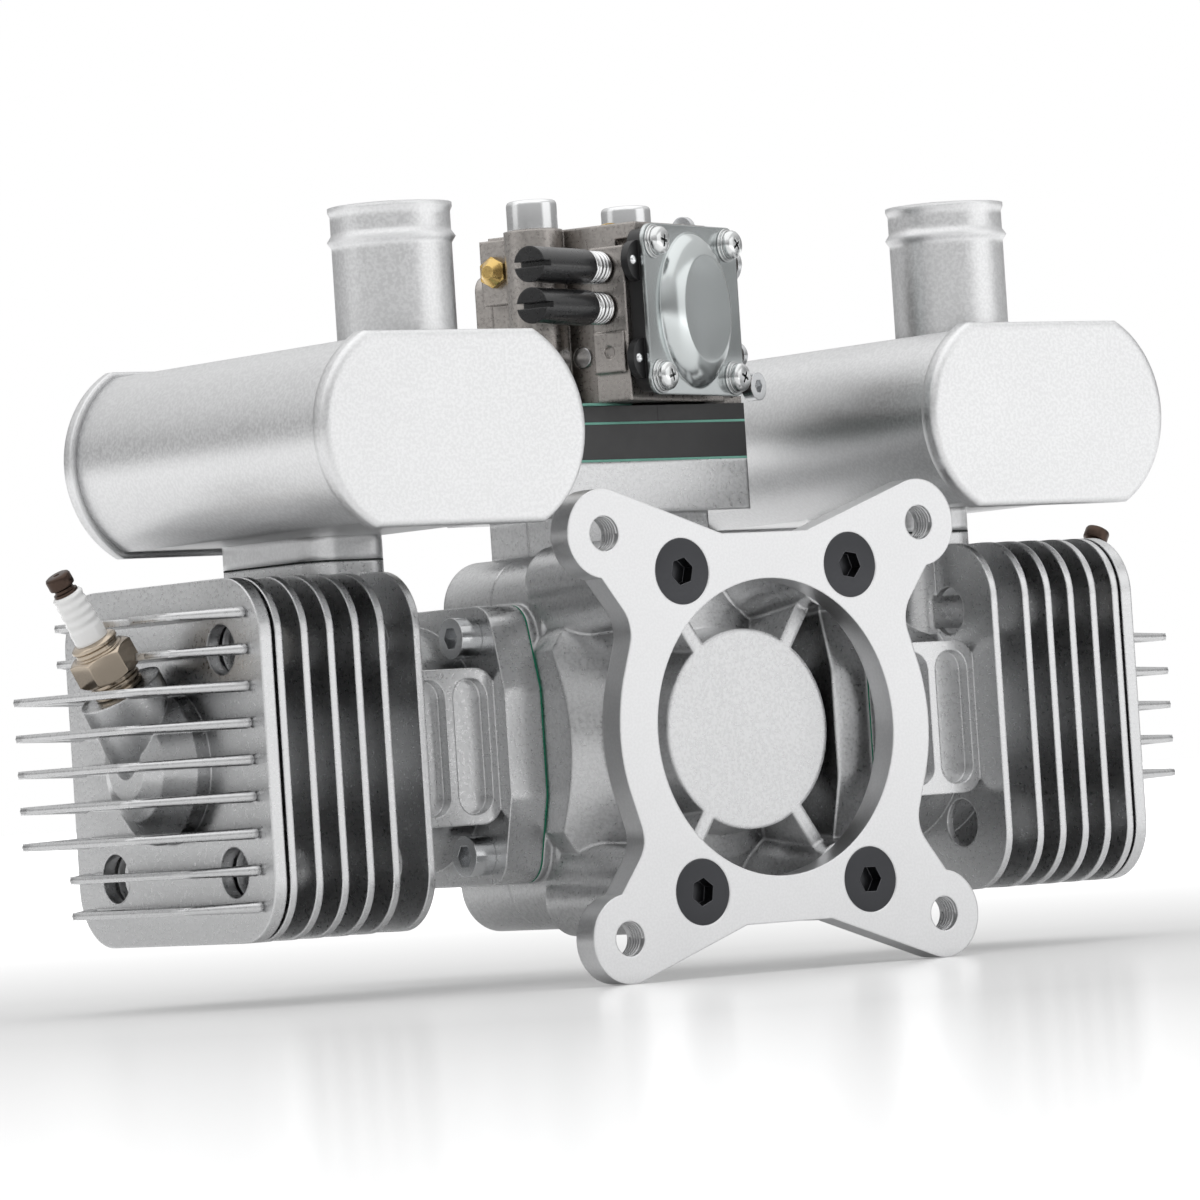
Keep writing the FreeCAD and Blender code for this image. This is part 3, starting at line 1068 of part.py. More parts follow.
def carb_body():
    """The die casting: its core, the thick front block, bosses and side lugs."""
    front = "-carb_front"
    block_back = "-carb_front+block_deep"
    blank = joined("carb_blank", [
        box("carb_core", ("-carb_half_x", front, "0"),
            ("carb_half_x", "carb_back", "carb_high")),
        box("carb_block", ("-block_left", front, "0"),
            ("block_right", block_back, "block_high")),
        box("carb_lug", ("-block_left-lug_proud", f"{front}+lug_in", "lug_low"),
            ("-block_left+over", f"{block_back}-lug_in", "lug_high")),
        rod("carb_boss", "carb_boss_r", "carb_high", ("carb_bolt_x", "0", "0")),
        rod("carb_boss", "carb_boss_r", "carb_high", ("-carb_bolt_x", "0", "0")),
        box("carb_plug_block", ("-plug_block_x", "plug_block_y", "plug_block_low"),
            ("0", "carb_back", "plug_block_high")),
        rod("throttle_boss", "valve_boss_r", "lever_x-valve_boss_gap",
            ("0", "-throat_y", "throttle_z"), "x"),
        rod("choke_boss", "valve_boss_r", "lever_x-valve_boss_gap",
            ("0", "-throat_y", "choke_z"), "x"),
        box("idle_lug", ("carb_half_x-over", "-throat_y-idle_long+idle_lug_in", "0"),
            ("idle_x+idle_r+idle_lug_out", "-throat_y-idle_long+idle_lug_back",
             "2*idle_z")),
    ])
    through = "2*lever_x"
    tools = [
        rod("carb_throat", "throat_r", "carb_high+2*over", ("0", "-throat_y", "-over")),
        rod("throttle_bore", "valve_shaft_r+fit_gap", f"2*{through}",
            (f"-{through}", "-throat_y", "throttle_z"), "x"),
        rod("choke_bore", "valve_shaft_r+fit_gap", f"2*{through}",
            (f"-{through}", "-throat_y", "choke_z"), "x"),
        rod("idle_bore", "idle_r+fit_gap", "carb_front",
            ("idle_x", "-carb_front-idle_free", "idle_z"), "y"),
        rod("fitting_bore", "fitting_thread_r", "fitting_thread_long+over",
            ("-plug_block_x-over", "fitting_y", "fitting_z"), "x"),
        rod("lug_dimple_cut", "lug_dimple_r", "lug_dimple+over",
            ("-block_left-lug_proud-over", "-carb_front+block_deep/2",
             "(lug_low+lug_high)/2"), "x"),
    ]
    for sign in (-1, 1):
        tools.append(rod("carb_bolt_hole", "carb_bolt_r+screw_gap", "carb_high+2*over",
                         (f"({sign})*carb_bolt_x", "0", "-over")))
    for z in ("low_needle_z", "high_needle_z"):
        tools.append(rod("needle_bore", "needle_r+fit_gap", "needle_in+2*over",
                         ("-block_left-over", "-needle_y", z), "x"))
    for sx, sz in FOUR:
        tools.append(rod("cover_thread", "cover_screw_r", "cover_grip+2*over",
                         (f"({sx})*cover_screw_pitch/2", "-carb_front-over",
                          f"carb_high/2+({sz})*cover_screw_pitch/2"), "y"))
    carb_pieces("carburettor_body", [cut("carb_cut", blank, tools)])


def diaphragm_parts():
    """The black sheets with their side lobes, the domed cover and its four screws."""
    front = "-carb_front-stack_thick"
    seat = f"({front}-cover_thick)"
    middle_z = "carb_high/2"
    stack = prism("stack_sheet", rectangle("cover_half-stack_in", "cover_half-stack_in"),
                  "stack_thick", ("0", "-carb_front", middle_z), "-y", corner="cover_round")
    lobes = [rod("stack_lobe", "lobe_disc_r", "lobe_thick",
                 ("-lobe_x", "-carb_front-stack_thick/2+lobe_thick/2",
                  f"{middle_z}+({sign})*lobe_z"), "-y") for sign in (-1, 1)]
    cover = prism("cover_sheet", rectangle("cover_half", "cover_half"), "cover_thick",
                  ("0", front, middle_z), "-y", corner="cover_round")
    dome = doc.addObject("Part::Ellipsoid", "cover_dome")
    bind(dome, Radius1="cover_dome_high", Radius2="cover_dome_x", Radius3="cover_dome_z",
         Angle1="-90")
    place(dome, ("0", f"{front}-cover_thick/2", middle_z), "-y")
    room = box("cover_dome_room", ("-cover_half", f"{seat}-cover_flat", "-over"),
               ("cover_half", f"{front}-cover_thick/2", "carb_high+over"))
    stack_holes = []
    cover_holes = []
    screws = []
    for sx, sz in FOUR:
        x = f"({sx})*cover_screw_pitch/2"
        z = f"{middle_z}+({sz})*cover_screw_pitch/2"
        head_y = f"({seat}-cover_washer_thick)"
        for holes, name in ((stack_holes, "stack_hole"), (cover_holes, "cover_hole")):
            holes.append(rod(name, "cover_screw_r+screw_gap",
                             "stack_thick+cover_thick+2*over", (x, "-carb_front+over", z),
                             "-y"))
        washer = ring("cover_washer", "cover_washer_r", "cover_screw_r+screw_gap",
                      "cover_washer_thick", (x, seat, z), "-y")
        head = rod("cover_screw_head", "cover_head_r", "cover_head_high", (x, head_y, z),
                   "-y")
        shank = rod("cover_screw_shank", "cover_screw_r",
                    "stack_thick+cover_thick+cover_grip", (x, head_y, z), "y")
        cross = []
        for half_x, half_z in (("cross_half", "cross_thin"), ("cross_thin", "cross_half")):
            cross.append(box("cross_slot", (f"{x}-{half_x}", f"{head_y}-cover_head_high-over",
                                            f"{z}-{half_z}"),
                             (f"{x}+{half_x}", f"{head_y}-cover_head_high+cross_deep",
                              f"{z}+{half_z}")))
        blank = joined("cover_screw_blank", [head, shank])
        screws += [washer, cut("cover_screw", blank, cross)]
    carb_pieces("diaphragm_stack", [cut("stack_cut", joined("stack_blank", [stack] + lobes),
                                        stack_holes)])
    raised = overlap("cover_dome_front", [dome, room])
    carb_pieces("diaphragm_cover", [cut("cover_cut", joined("cover_blank", [cover, raised]),
                                        cover_holes)])
    carb_pieces("cover_screws", screws)


def lever_arm(label, long, eye_r, turn):
    """An arm with an eye at its end, reaching from a valve shaft at an angle from level."""
    arm = prism(label + "_arm", [("-lever_r", "0"), ("lever_r", "0"), (eye_r, long),
                                 (f"-{eye_r}", long)], "lever_thick", axis="x")
    eye = rod(label + "_eye", eye_r, "lever_thick", ("0", "0", long), "x")
    hole = rod(label + "_wire_hole", "wire_hole_r", "lever_thick+2*over",
               ("-over", "0", long), "x")
    blank = cut(label + "_arm_cut", joined(label + "_arm_blank", [arm, eye]), [hole])
    blank.Placement = FreeCAD.Placement(
        FreeCAD.Vector(), FreeCAD.Rotation(FreeCAD.Vector(1, 0, 0), turn))
    return blank


def valve(label, z, arms, upright=False):
    """A shaft across the throat with its lever, and the disc held in the shaft's slot."""
    disc_r = "(throat_r-valve_gap)"
    shaft = rod(label + "_rod", "valve_shaft_r",
                "shaft_back+lever_x+lever_thick+shaft_past", ("-shaft_back", "-throat_y", z),
                "x")
    room = "(valve_shaft_r+over)"
    if upright:
        slot = box(label + "_slot", (f"-{disc_r}", "-throat_y-valve_thick/2", f"{z}-{room}"),
                   (disc_r, "-throat_y+valve_thick/2", f"{z}+{room}"))
        disc = rod(label + "_disc", disc_r, "valve_thick",
                   ("0", "-throat_y-valve_thick/2", z), "y")
    else:
        slot = box(label + "_slot", (f"-{disc_r}", f"-throat_y-{room}", f"{z}-valve_thick/2"),
                   (disc_r, f"-throat_y+{room}", f"{z}+valve_thick/2"))
        disc = rod(label + "_disc", disc_r, "valve_thick",
                   ("0", "-throat_y", f"{z}-valve_thick/2"))
    slotted = cut(label + "_slotted", shaft, [slot])
    pieces = [lever_arm(label, long, eye_r, turn) for long, eye_r, turn in arms]
    pieces.append(rod(label + "_hub", "lever_r", "lever_thick", axis="x"))
    lever = place(joined(label + "_lever", pieces), ("lever_x", "-throat_y", z))
    carb_pieces(f"{label}_shaft", [joined(label + "_turning", [slotted, lever])])
    carb_pieces(f"{label}_plate", [disc])


def needles():
    springs = []
    for label, z in (("low_speed_needle", "low_needle_z"),
                     ("high_speed_needle", "high_needle_z")):
        face = "(block_left+needle_spring_long)"
        shank = rod(label + "_shank", "needle_r", "needle_in+needle_spring_long",
                    ("-block_left+needle_in", "-needle_y", z), "-x")
        knob = rod(label + "_knob", "needle_knob_r", "needle_knob_long",
                   (f"-{face}", "-needle_y", z), "-x")
        slot_end = f"-{face}-needle_knob_long"
        slot = box(label + "_slot", (f"{slot_end}-over", "-needle_y-needle_knob_r-over",
                                     f"{z}-needle_slot/2"),
                   (f"{slot_end}+needle_slot_deep", "-needle_y+needle_knob_r+over",
                    f"{z}+needle_slot/2"))
        carb_pieces(label, [cut(label + "_cut", joined(label + "_blank", [shank, knob]),
                                [slot])])
        springs.append(coil("needle_spring", "spring_coil_r", "spring_wire_r",
                            "spring_turns", "needle_spring_long-2*spring_gap",
                            ("-block_left-spring_gap", "-needle_y", z), "-x"))
    carb_pieces("carburettor_springs", springs)


def carb_fasteners():
    bolts = []
    for sign in (-1, 1):
        bolts.append(socket_screw("carb_bolt", "carb_head_r", "carb_head_high",
                                  "carb_bolt_r", "carb_high", "carb_socket",
                                  (f"({sign})*carb_bolt_x", "0", "carb_high"), "z"))
    carb_pieces("carburettor_bolts", bolts)
    fitting = joined("fitting_blank", [
        hexagon("fitting_hex", "2*fitting_r", "fitting_long/2",
                ("-plug_block_x", "fitting_y", "fitting_z"), "-x"),
        cone("fitting_tip", "fitting_r", "fitting_r/2", "fitting_long/2",
             ("-plug_block_x-fitting_long/2", "fitting_y", "fitting_z"), "-x"),
        rod("fitting_thread", "fitting_thread_r", "fitting_thread_long",
            ("-plug_block_x", "fitting_y", "fitting_z"), "x")])
    carb_pieces("brass_plug", [fitting])


def pump_side():
    """The fuel pump cover on the far side, with its inlet nipple, and the idle screw."""
    face = "(carb_back+pump_thick)"
    middle_z = "(carb_high/2-pump_drop)"
    cover = prism("pump_sheet", rectangle("pump_half_x", "pump_half_z"), "pump_thick",
                  ("0", face, middle_z), "-y", corner="pump_round")
    screw = rod("pump_screw", "cover_head_r", "cover_head_high", ("0", face, middle_z), "y")
    carb_pieces("pump_cover", [joined("pump_cover_blank", [cover, screw])])
    nipple = turned("fuel_nipple_profile", [
        ("nipple_bore_r", "0"), ("nipple_r+nipple_collar", "0"),
        ("nipple_r+nipple_collar", "nipple_foot"), ("nipple_r", "nipple_foot"),
        ("nipple_r", "nipple_long-barb_long"),
        ("nipple_r+barb_proud", "nipple_long-barb_long+over"),
        ("nipple_r-barb_tip", "nipple_long"), ("nipple_bore_r", "nipple_long")],
        ("-nipple_x", face, f"{middle_z}-nipple_drop"), "y")
    carb_pieces("fuel_nipple", [nipple])
    screw = socket_screw("idle_blank", "idle_head_r", "idle_head", "idle_r", "idle_long",
                         "idle_socket", ("idle_x", "-throat_y-idle_long-idle_free",
                                         "idle_z"), "-y")
    carb_pieces("idle_screw", [screw])


# Write the pieces
mount_plate()
plate_screws()
crankcase_rear()
crankcase_front()
crankcase_bolts()
bearings()
crankshaft()
propeller_hub()
terminals = []
for side in SIDES:
    crank_train(side)
    cylinder(side)
    terminals.append(spark_plug(side))
    muffler(side)
node(group("spark_plug_terminals", terminals), "spark_plug_terminals")
cylinder_hardware()
exhaust_gaskets()
intake_stack()
carb_body()
diaphragm_parts()
forward, upward = 90, 10
valve("throttle", "throttle_z", [("throttle_arm", "throttle_eye_r", forward)])
valve("choke", "choke_z", [("choke_arm", "choke_eye_r", forward),
                           ("choke_tail", "choke_tail_r", upward)], upright=True)
needles()
carb_fasteners()
pump_side()

doc.recompute()
for obj in doc.Objects:
    if "Invalid" in obj.State or "Error" in obj.State:
        raise RuntimeError(f"{obj.Name} failed: {obj.State}")
for piece in nodes:
    if piece.Shape.isNull() or not piece.Shape.isValid():
        raise RuntimeError(f"{piece.Label} has no valid shape")
    piece.Shape.exportStep(f"parts/{piece.Label}.step")
print(len(nodes), "nodes")
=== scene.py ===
import bmesh
import bpy
import json
import math
from mathutils import Matrix, Vector


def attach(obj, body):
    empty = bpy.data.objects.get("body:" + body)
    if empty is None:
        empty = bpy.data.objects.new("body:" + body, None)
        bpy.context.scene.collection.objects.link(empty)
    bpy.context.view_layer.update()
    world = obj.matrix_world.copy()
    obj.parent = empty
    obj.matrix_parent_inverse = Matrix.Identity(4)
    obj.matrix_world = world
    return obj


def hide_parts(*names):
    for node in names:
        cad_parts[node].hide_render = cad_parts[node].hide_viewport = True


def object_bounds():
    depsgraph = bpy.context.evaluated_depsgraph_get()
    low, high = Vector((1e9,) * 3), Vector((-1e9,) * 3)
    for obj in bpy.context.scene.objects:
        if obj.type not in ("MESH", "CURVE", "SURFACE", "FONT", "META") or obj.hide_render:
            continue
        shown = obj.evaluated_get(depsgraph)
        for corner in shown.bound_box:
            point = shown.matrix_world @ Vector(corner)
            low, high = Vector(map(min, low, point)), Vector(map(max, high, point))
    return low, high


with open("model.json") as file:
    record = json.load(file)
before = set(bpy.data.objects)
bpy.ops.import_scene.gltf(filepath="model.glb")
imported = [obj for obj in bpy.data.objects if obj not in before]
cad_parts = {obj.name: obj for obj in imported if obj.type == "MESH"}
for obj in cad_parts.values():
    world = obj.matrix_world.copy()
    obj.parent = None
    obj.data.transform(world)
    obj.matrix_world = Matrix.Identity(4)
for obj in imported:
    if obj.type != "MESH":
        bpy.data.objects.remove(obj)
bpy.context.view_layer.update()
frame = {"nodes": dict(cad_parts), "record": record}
NODES = frame["nodes"]
SLOT_OF = {s["node"]: s["material_slot"] for s in frame["record"]["subparts"]}
MM = 0.001


# ---------------------------------------------------------------- nodes
def add_node(tree, kind, inputs):
    """Adds a node; inputs maps a socket's name or number to a value or to an output."""
    node = tree.nodes.new(kind)
    for key, value in inputs.items():
        if isinstance(value, bpy.types.NodeSocket):
            tree.links.new(value, node.inputs[key])
        else:
            node.inputs[key].default_value = value
    return node


def add_sum(tree, kind, operation, *values):
    """Adds a maths node, scalar or vector, with its values in order."""
    node = add_node(tree, kind, dict(enumerate(values)))
    node.operation = operation
    return node


def largest(tree, first, *others):
    """The largest of some outputs."""
    for other in others:
        first = add_sum(tree, "ShaderNodeMath", "MAXIMUM", first, other).outputs[0]
    return first


class Nodes:
    """A small helper that builds a material's node tree."""

    def __init__(self, name):
        self.mat = bpy.data.materials.new(name)
        self.mat.use_nodes = True
        self.tree = self.mat.node_tree
        self.shader = self.tree.nodes["Principled BSDF"]
        self.coord = self.add("ShaderNodeTexCoord", {}).outputs["Object"]

    def add(self, kind, inputs):
        return add_node(self.tree, kind, inputs)

    def link(self, a, b):
        self.tree.links.new(a, b)

    def scaled(self, scale):
        node = self.add("ShaderNodeMapping", {"Vector": self.coord, "Scale": scale})
        return node.outputs["Vector"]

    def noise(self, scale, detail, rough, coord=None):
        node = self.add("ShaderNodeTexNoise", {"Vector": coord or self.coord, "Scale": scale,
                                               "Detail": detail, "Roughness": rough})
        return node.outputs["Fac"]

    def ramp(self, value, low, high, start=0.35, end=0.65):
        node = self.add("ShaderNodeValToRGB", {"Fac": value})
        for element, place, color in zip(node.color_ramp.elements, (start, end), (low, high)):
            element.position = place
            element.color = (*color, 1)
        return node.outputs["Color"]

    def to_range(self, value, low, high, start=0.3, end=0.7):
        node = self.add("ShaderNodeMapRange", {"Value": value, "From Min": start,
                                               "From Max": end, "To Min": low, "To Max": high})
        return node.outputs["Result"]

    def bump(self, height, strength, distance, normal):
        node = self.add("ShaderNodeBump", {"Strength": strength, "Distance": distance,
                                           "Height": height, "Normal": normal})
        return node.outputs["Normal"]

    def soft_edge(self, radius):
        node = self.add("ShaderNodeBevel", {"Radius": radius})
        node.samples = 6
        return node.outputs["Normal"]

    def edge_mask(self, rounded_normal):
        """One along convex and concave edges, nought on flat faces."""
        geometry = self.add("ShaderNodeNewGeometry", {})
        dot = add_sum(self.tree, "ShaderNodeVectorMath", "DOT_PRODUCT",
                      rounded_normal, geometry.outputs["Normal"])
        return self.to_range(dot.outputs["Value"], 1.0, 0.0, 0.90, 0.995)

    def painted_gap_shade(self, reach):
        """One in the open, falling towards nought in narrow gaps: the mask of the painted shade.
        """
        node = self.add("ShaderNodeAmbientOcclusion", {"Distance": reach})
        node.samples = 4
        return node.outputs["AO"]

    def mixed(self, factor, first, second, blend="MIX"):
        """Blends two colours, of which the second may be a plain one."""
        if not isinstance(second, bpy.types.NodeSocket):
            second = (*second, 1)
        node = self.add("ShaderNodeMixRGB", {"Fac": factor, "Color1": first, "Color2": second})
        node.blend_type = blend
        return node.outputs["Color"]


# ---------------------------------------------------------------- materials
BLOTCH_STRENGTH, BLOTCH_DEPTH = 0.05, 0.0006    # the slow waves of a cast face
LAY_DEPTH = 0.0001                              # the lay or grain of other faces
ROUGH_SPREAD = 0.05


def darker(color, share):
    return tuple(c * share for c in color)


def metal(name, color, rough, grain=900.0, bump=0.12, depth=0.0002, spread=0.06, dirt=0.93,
          edge=0.0004, reach=0.006, shade=0.45, edge_wear_and_highlight=1.12, fleck=0.0):
    """Cast or blasted metal: a fine grain, soft blotches, painted shade in pockets, and edges
    painted lighter for wear and highlight.
    """
    n = Nodes(name)
    rounded = n.soft_edge(edge)
    blotch = n.noise(38.0, 5.0, 0.6)
    body = n.ramp(blotch, darker(color, dirt), color)
    fine = n.noise(grain, 2.0, 0.5)
    if fleck:
        speck = n.ramp(fine, darker(color, 1.0 - fleck), darker(color, 1.0 + fleck), 0.42, 0.60)
        body = n.mixed(0.6, body, speck)
    # Painted shade: the colour is darkened in narrow gaps and pockets, down to shade times itself
    painted_shade = n.to_range(n.painted_gap_shade(reach), shade, 1.0, 0.0, 0.75)
    body = n.mixed(1.0, body, painted_shade, "MULTIPLY")
    # Painted highlight, partly wear: the colour is lightened along convex and concave edges
    bright = tuple(min(1.0, c * edge_wear_and_highlight) for c in color)
    body = n.mixed(n.edge_mask(rounded), body, bright)
    n.link(body, n.shader.inputs["Base Color"])
    n.link(n.to_range(fine, rough - spread, rough + spread), n.shader.inputs["Roughness"])
    n.shader.inputs["Metallic"].default_value = 1.0
    waves = n.bump(blotch, BLOTCH_STRENGTH, BLOTCH_DEPTH, rounded)
    n.link(n.bump(fine, bump, depth, waves), n.shader.inputs["Normal"])
    return n.mat


def brushed(name, color, rough, along=(4000.0, 120.0, 4000.0), bump=0.05, edge=0.0004):
    """Machined or plated metal with a fine lay."""
    n = Nodes(name)
    lay = n.noise(1.0, 2.0, 0.5, n.scaled(along))
    blotch = n.noise(30.0, 4.0, 0.55)
    n.link(n.ramp(blotch, darker(color, 0.94), color), n.shader.inputs["Base Color"])
    n.link(n.to_range(lay, rough - ROUGH_SPREAD, rough + ROUGH_SPREAD),
           n.shader.inputs["Roughness"])
    n.shader.inputs["Metallic"].default_value = 1.0
    n.link(n.bump(lay, bump, LAY_DEPTH, n.soft_edge(edge)), n.shader.inputs["Normal"])
    return n.mat


def dull(name, color, rough, grain=700.0, bump=0.15, coat=0.0, dirt=0.8, edge=0.0003):
    """Plastic, rubber, fibre sheet or glaze."""
    n = Nodes(name)
    blotch = n.noise(90.0, 4.0, 0.6)
    n.link(n.ramp(blotch, darker(color, dirt), color), n.shader.inputs["Base Color"])
    fine = n.noise(grain, 3.0, 0.6)
    n.link(n.to_range(fine, rough - ROUGH_SPREAD, rough + ROUGH_SPREAD),
           n.shader.inputs["Roughness"])
    n.shader.inputs["Coat Weight"].default_value = coat
    n.link(n.bump(fine, bump, LAY_DEPTH, n.soft_edge(edge)), n.shader.inputs["Normal"])
    return n.mat


PHENOLIC, PHENOLIC_ROUGH = (0.030, 0.030, 0.031), 0.40
LOOKS = {
    "plate": metal("plate_satin", (0.66, 0.662, 0.668), 0.36, grain=1500.0, bump=0.14,
                   depth=0.0001, spread=0.05, dirt=0.95, edge=0.0006, shade=0.6, fleck=0.05),
    # Edges painted far lighter than the black face: painted highlight, partly wear
    "black_steel": metal("black_oxide", (0.055, 0.056, 0.060), 0.34, grain=1500.0, bump=0.05,
                         edge=0.0003, reach=0.002, edge_wear_and_highlight=2.6),
    "casting": metal("blasted_casting", (0.56, 0.563, 0.568), 0.32, grain=1150.0, bump=0.34,
                     depth=0.0001, edge=0.0014, reach=0.008, shade=0.5, fleck=0.12),
    "zinc": brushed("bright_zinc", (0.68, 0.69, 0.70), 0.22),
    "bearing_steel": brushed("ground_steel", (0.58, 0.58, 0.59), 0.20),
    "rubber": dull("seal_rubber", (0.03, 0.03, 0.03), 0.55),
    "cylinder_alloy": metal("cylinder_casting", (0.60, 0.603, 0.608), 0.31, grain=1150.0,
                            bump=0.28, depth=0.0001, edge=0.0007, reach=0.003, shade=0.8,
                            edge_wear_and_highlight=1.25, fleck=0.06),
    "plug_steel": metal("plug_plating", (0.47, 0.40, 0.32), 0.20, grain=700.0, bump=0.02,
                        spread=0.03, reach=0.002),
    "ceramic": dull("glazed_ceramic", (0.92, 0.92, 0.915), 0.16, grain=300.0, bump=0.02,
                    coat=0.6, dirt=0.99),
    "terminal_steel": metal("terminal_brown", (0.075, 0.052, 0.042), 0.34, grain=1500.0,
                            bump=0.1, edge=0.0003),
    "muffler_sheet": metal("beaded_sheet", (0.68, 0.683, 0.688), 0.37, grain=1250.0, bump=0.32,
                           depth=0.0001, spread=0.05, dirt=0.95, edge=0.0022, shade=0.6,
                           fleck=0.09),
    "dark_gasket": dull("dark_fibre", (0.03, 0.035, 0.033), 0.7),
    "gasket": dull("mint_fibre", (0.22, 0.52, 0.42), 0.7),
    "phenolic": dull("black_phenolic", PHENOLIC, PHENOLIC_ROUGH),
    "carburettor_cast": metal("die_casting", (0.40, 0.375, 0.355), 0.31, grain=1300.0, bump=0.34,
                              depth=0.0001, edge=0.0009, shade=0.5, fleck=0.12),
    "black_rubber": dull("diaphragm_rubber", (0.022, 0.022, 0.023), 0.45),
    "zinc_cover": brushed("plated_cover", (0.56, 0.59, 0.59), 0.20, along=(60.0, 60.0, 60.0),
                          bump=0.03, edge=0.0006),
    "chrome": brushed("bright_chrome", (0.74, 0.745, 0.75), 0.21, bump=0.02, edge=0.0003),
    "brass": metal("bright_brass", (0.66, 0.46, 0.17), 0.24, bump=0.05),
    "black_knob": dull("knob_black", (0.013, 0.013, 0.014), 0.30, grain=900.0, bump=0.05,
                       coat=0.2, edge=0.0006),
}
GREEN_FIBRE = dull("green_fibre", (0.015, 0.25, 0.14), 0.6)
# Deep painted shade in the screws' cross recesses and under their heads
SCREW_LOOK = metal("plated_screw", (0.66, 0.67, 0.67), 0.20, bump=0.03, spread=0.03,
                   edge=0.00025, reach=0.0016, shade=0.10, edge_wear_and_highlight=1.1)
SPACER_SPLIT, SPLIT_HALF_WIDTH = 0.0034, 0.00016
SPLIT_BLACK = (0.002, 0.002, 0.002, 1)


def split_spacer():
    """Moulded phenolic whose two halves meet in a thin line."""
    mat = dull("split_phenolic", PHENOLIC, PHENOLIC_ROUGH)
    tree = mat.node_tree
    base = tree.nodes["Principled BSDF"].inputs["Base Color"]
    coord = tree.nodes.new("ShaderNodeTexCoord")
    split = add_node(tree, "ShaderNodeSeparateXYZ", {0: coord.outputs["Object"]})
    on_line = add_sum(tree, "ShaderNodeMath", "COMPARE", split.outputs["X"], SPACER_SPLIT,
                      SPLIT_HALF_WIDTH)
    mix = add_node(tree, "ShaderNodeMixRGB", {"Fac": on_line.outputs[0],
                                              "Color1": base.links[0].from_socket,
                                              "Color2": SPLIT_BLACK})
    tree.links.new(mix.outputs["Color"], base)
    return mat


def paint(obj, mat):
    obj.data.materials.clear()
    obj.data.materials.append(mat)


for name, obj in NODES.items():
    paint(obj, LOOKS[SLOT_OF[name]])
paint(NODES["base_gaskets"], GREEN_FIBRE)
paint(NODES["heat_spacer"], split_spacer())


# ---------------------------------------------------------------- shapes, in millimetres
def sound(mesh, weld):
    """Welds a mesh's double points and turns its faces outwards."""
    bm = bmesh.new()
    bm.from_mesh(mesh)
    bmesh.ops.remove_doubles(bm, verts=bm.verts, dist=weld)
    bmesh.ops.recalc_face_normals(bm, faces=bm.faces)
    bm.to_mesh(mesh)
    bm.free()


def placed(name, mesh):
    obj = bpy.data.objects.new(name, mesh)
    bpy.context.scene.collection.objects.link(obj)
    return obj


def piece(name, verts, faces, slot, place=Matrix.Identity(4), look=None, smooth=60.0):
    """A piece that rides the engine; its points are in the frame that place sets."""
    mesh = bpy.data.meshes.new(name)
    mesh.from_pydata([(place @ Vector(v)) * MM for v in verts], [], faces)
    sound(mesh, 1e-7)
    for polygon in mesh.polygons:
        polygon.use_smooth = True
    obj = placed(name, mesh)
    mesh.set_sharp_from_angle(angle=math.radians(smooth))
    paint(obj, look or LOOKS[slot])
    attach(obj, "engine")
    return obj


def merged(*shapes):
    verts, faces = [], []
    for more_verts, more_faces in shapes:
        start = len(verts)
        verts += more_verts
        faces += [tuple(start + i for i in face) for face in more_faces]
    return verts, faces


def moved(shape, place):
    return [tuple(place @ Vector(v)) for v in shape[0]], shape[1]


DOME = [math.radians(a) for a in (35, 65, 85)]


def tube(points, radii, sides=12, guide=(0, 0, 1)):
    """A round bar along the points, with domed ends."""
    points = [Vector(p) for p in points]
    if isinstance(radii, float):
        radii = [radii] * len(points)
    ends = []
    for point, other, radius in ((points[0], points[1], radii[0]),
                                 (points[-1], points[-2], radii[-1])):
        away = (point - other).normalized()
        ends.append([(point + away * radius * math.sin(a), radius * math.cos(a)) for a in DOME])
    line = list(reversed(ends[0])) + list(zip(points, radii)) + ends[1]
    last = len(line) - 1
    verts, faces = [], []
    for i, (point, radius) in enumerate(line):
        ahead = line[min(i + 1, last)][0] - line[max(i - 1, 0)][0]
        ahead.normalize()
        across = ahead.cross(Vector(guide)).normalized()
        up = across.cross(ahead)
        for s in range(sides):
            a = 2 * math.pi * s / sides
            verts.append(tuple(point + (across * math.cos(a) + up * math.sin(a)) * radius))
    for i in range(last):
        for s in range(sides):
            t = (s + 1) % sides
            faces.append((i * sides + s, i * sides + t, (i + 1) * sides + t,
                          (i + 1) * sides + s))
    faces.append(tuple(range(sides)))
    faces.append(tuple(range(last * sides, (last + 1) * sides)))
    return verts, faces


def lathe(profile, steps=48, sweep=2 * math.pi):
    """Turns a profile of (radius, height) about z; a part sweep gets flat ends."""
    whole = abs(sweep - 2 * math.pi) < 1e-6
    rings = steps if whole else steps + 1
    verts, faces = [], []
    for s in range(rings):
        a = sweep * s / steps
        verts += [(r * math.cos(a), r * math.sin(a), h) for r, h in profile]
    count = len(profile)
    for s in range(steps):
        t = (s + 1) % rings
        for i in range(count):
            j = (i + 1) % count
            faces.append((s * count + i, s * count + j, t * count + j, t * count + i))
    if not whole:
        faces.append(tuple(range(count)))
        faces.append(tuple(range(steps * count, (steps + 1) * count)))
    return verts, faces


def coil_path(radius, turns, start, end, steps=28, closing=0.55):
    """A coil along x whose first and last turns lie close together."""
    count = int(turns * steps)
    points = []
    for i in range(count + 1):
        share = i / count
        eased = share - math.sin(2 * math.pi * share) * closing / (2 * math.pi)
        a = 2 * math.pi * turns * share
        points.append((start + (end - start) * eased, radius * math.cos(a),
                       radius * math.sin(a)))
    return points


def blank(shape):
    """A plain mesh object for a cut, which is removed once the cut is made."""
    mesh = bpy.data.meshes.new("blank")
    mesh.from_pydata(shape[0], [], shape[1])
    sound(mesh, 1e-5)
    return placed("blank", mesh)


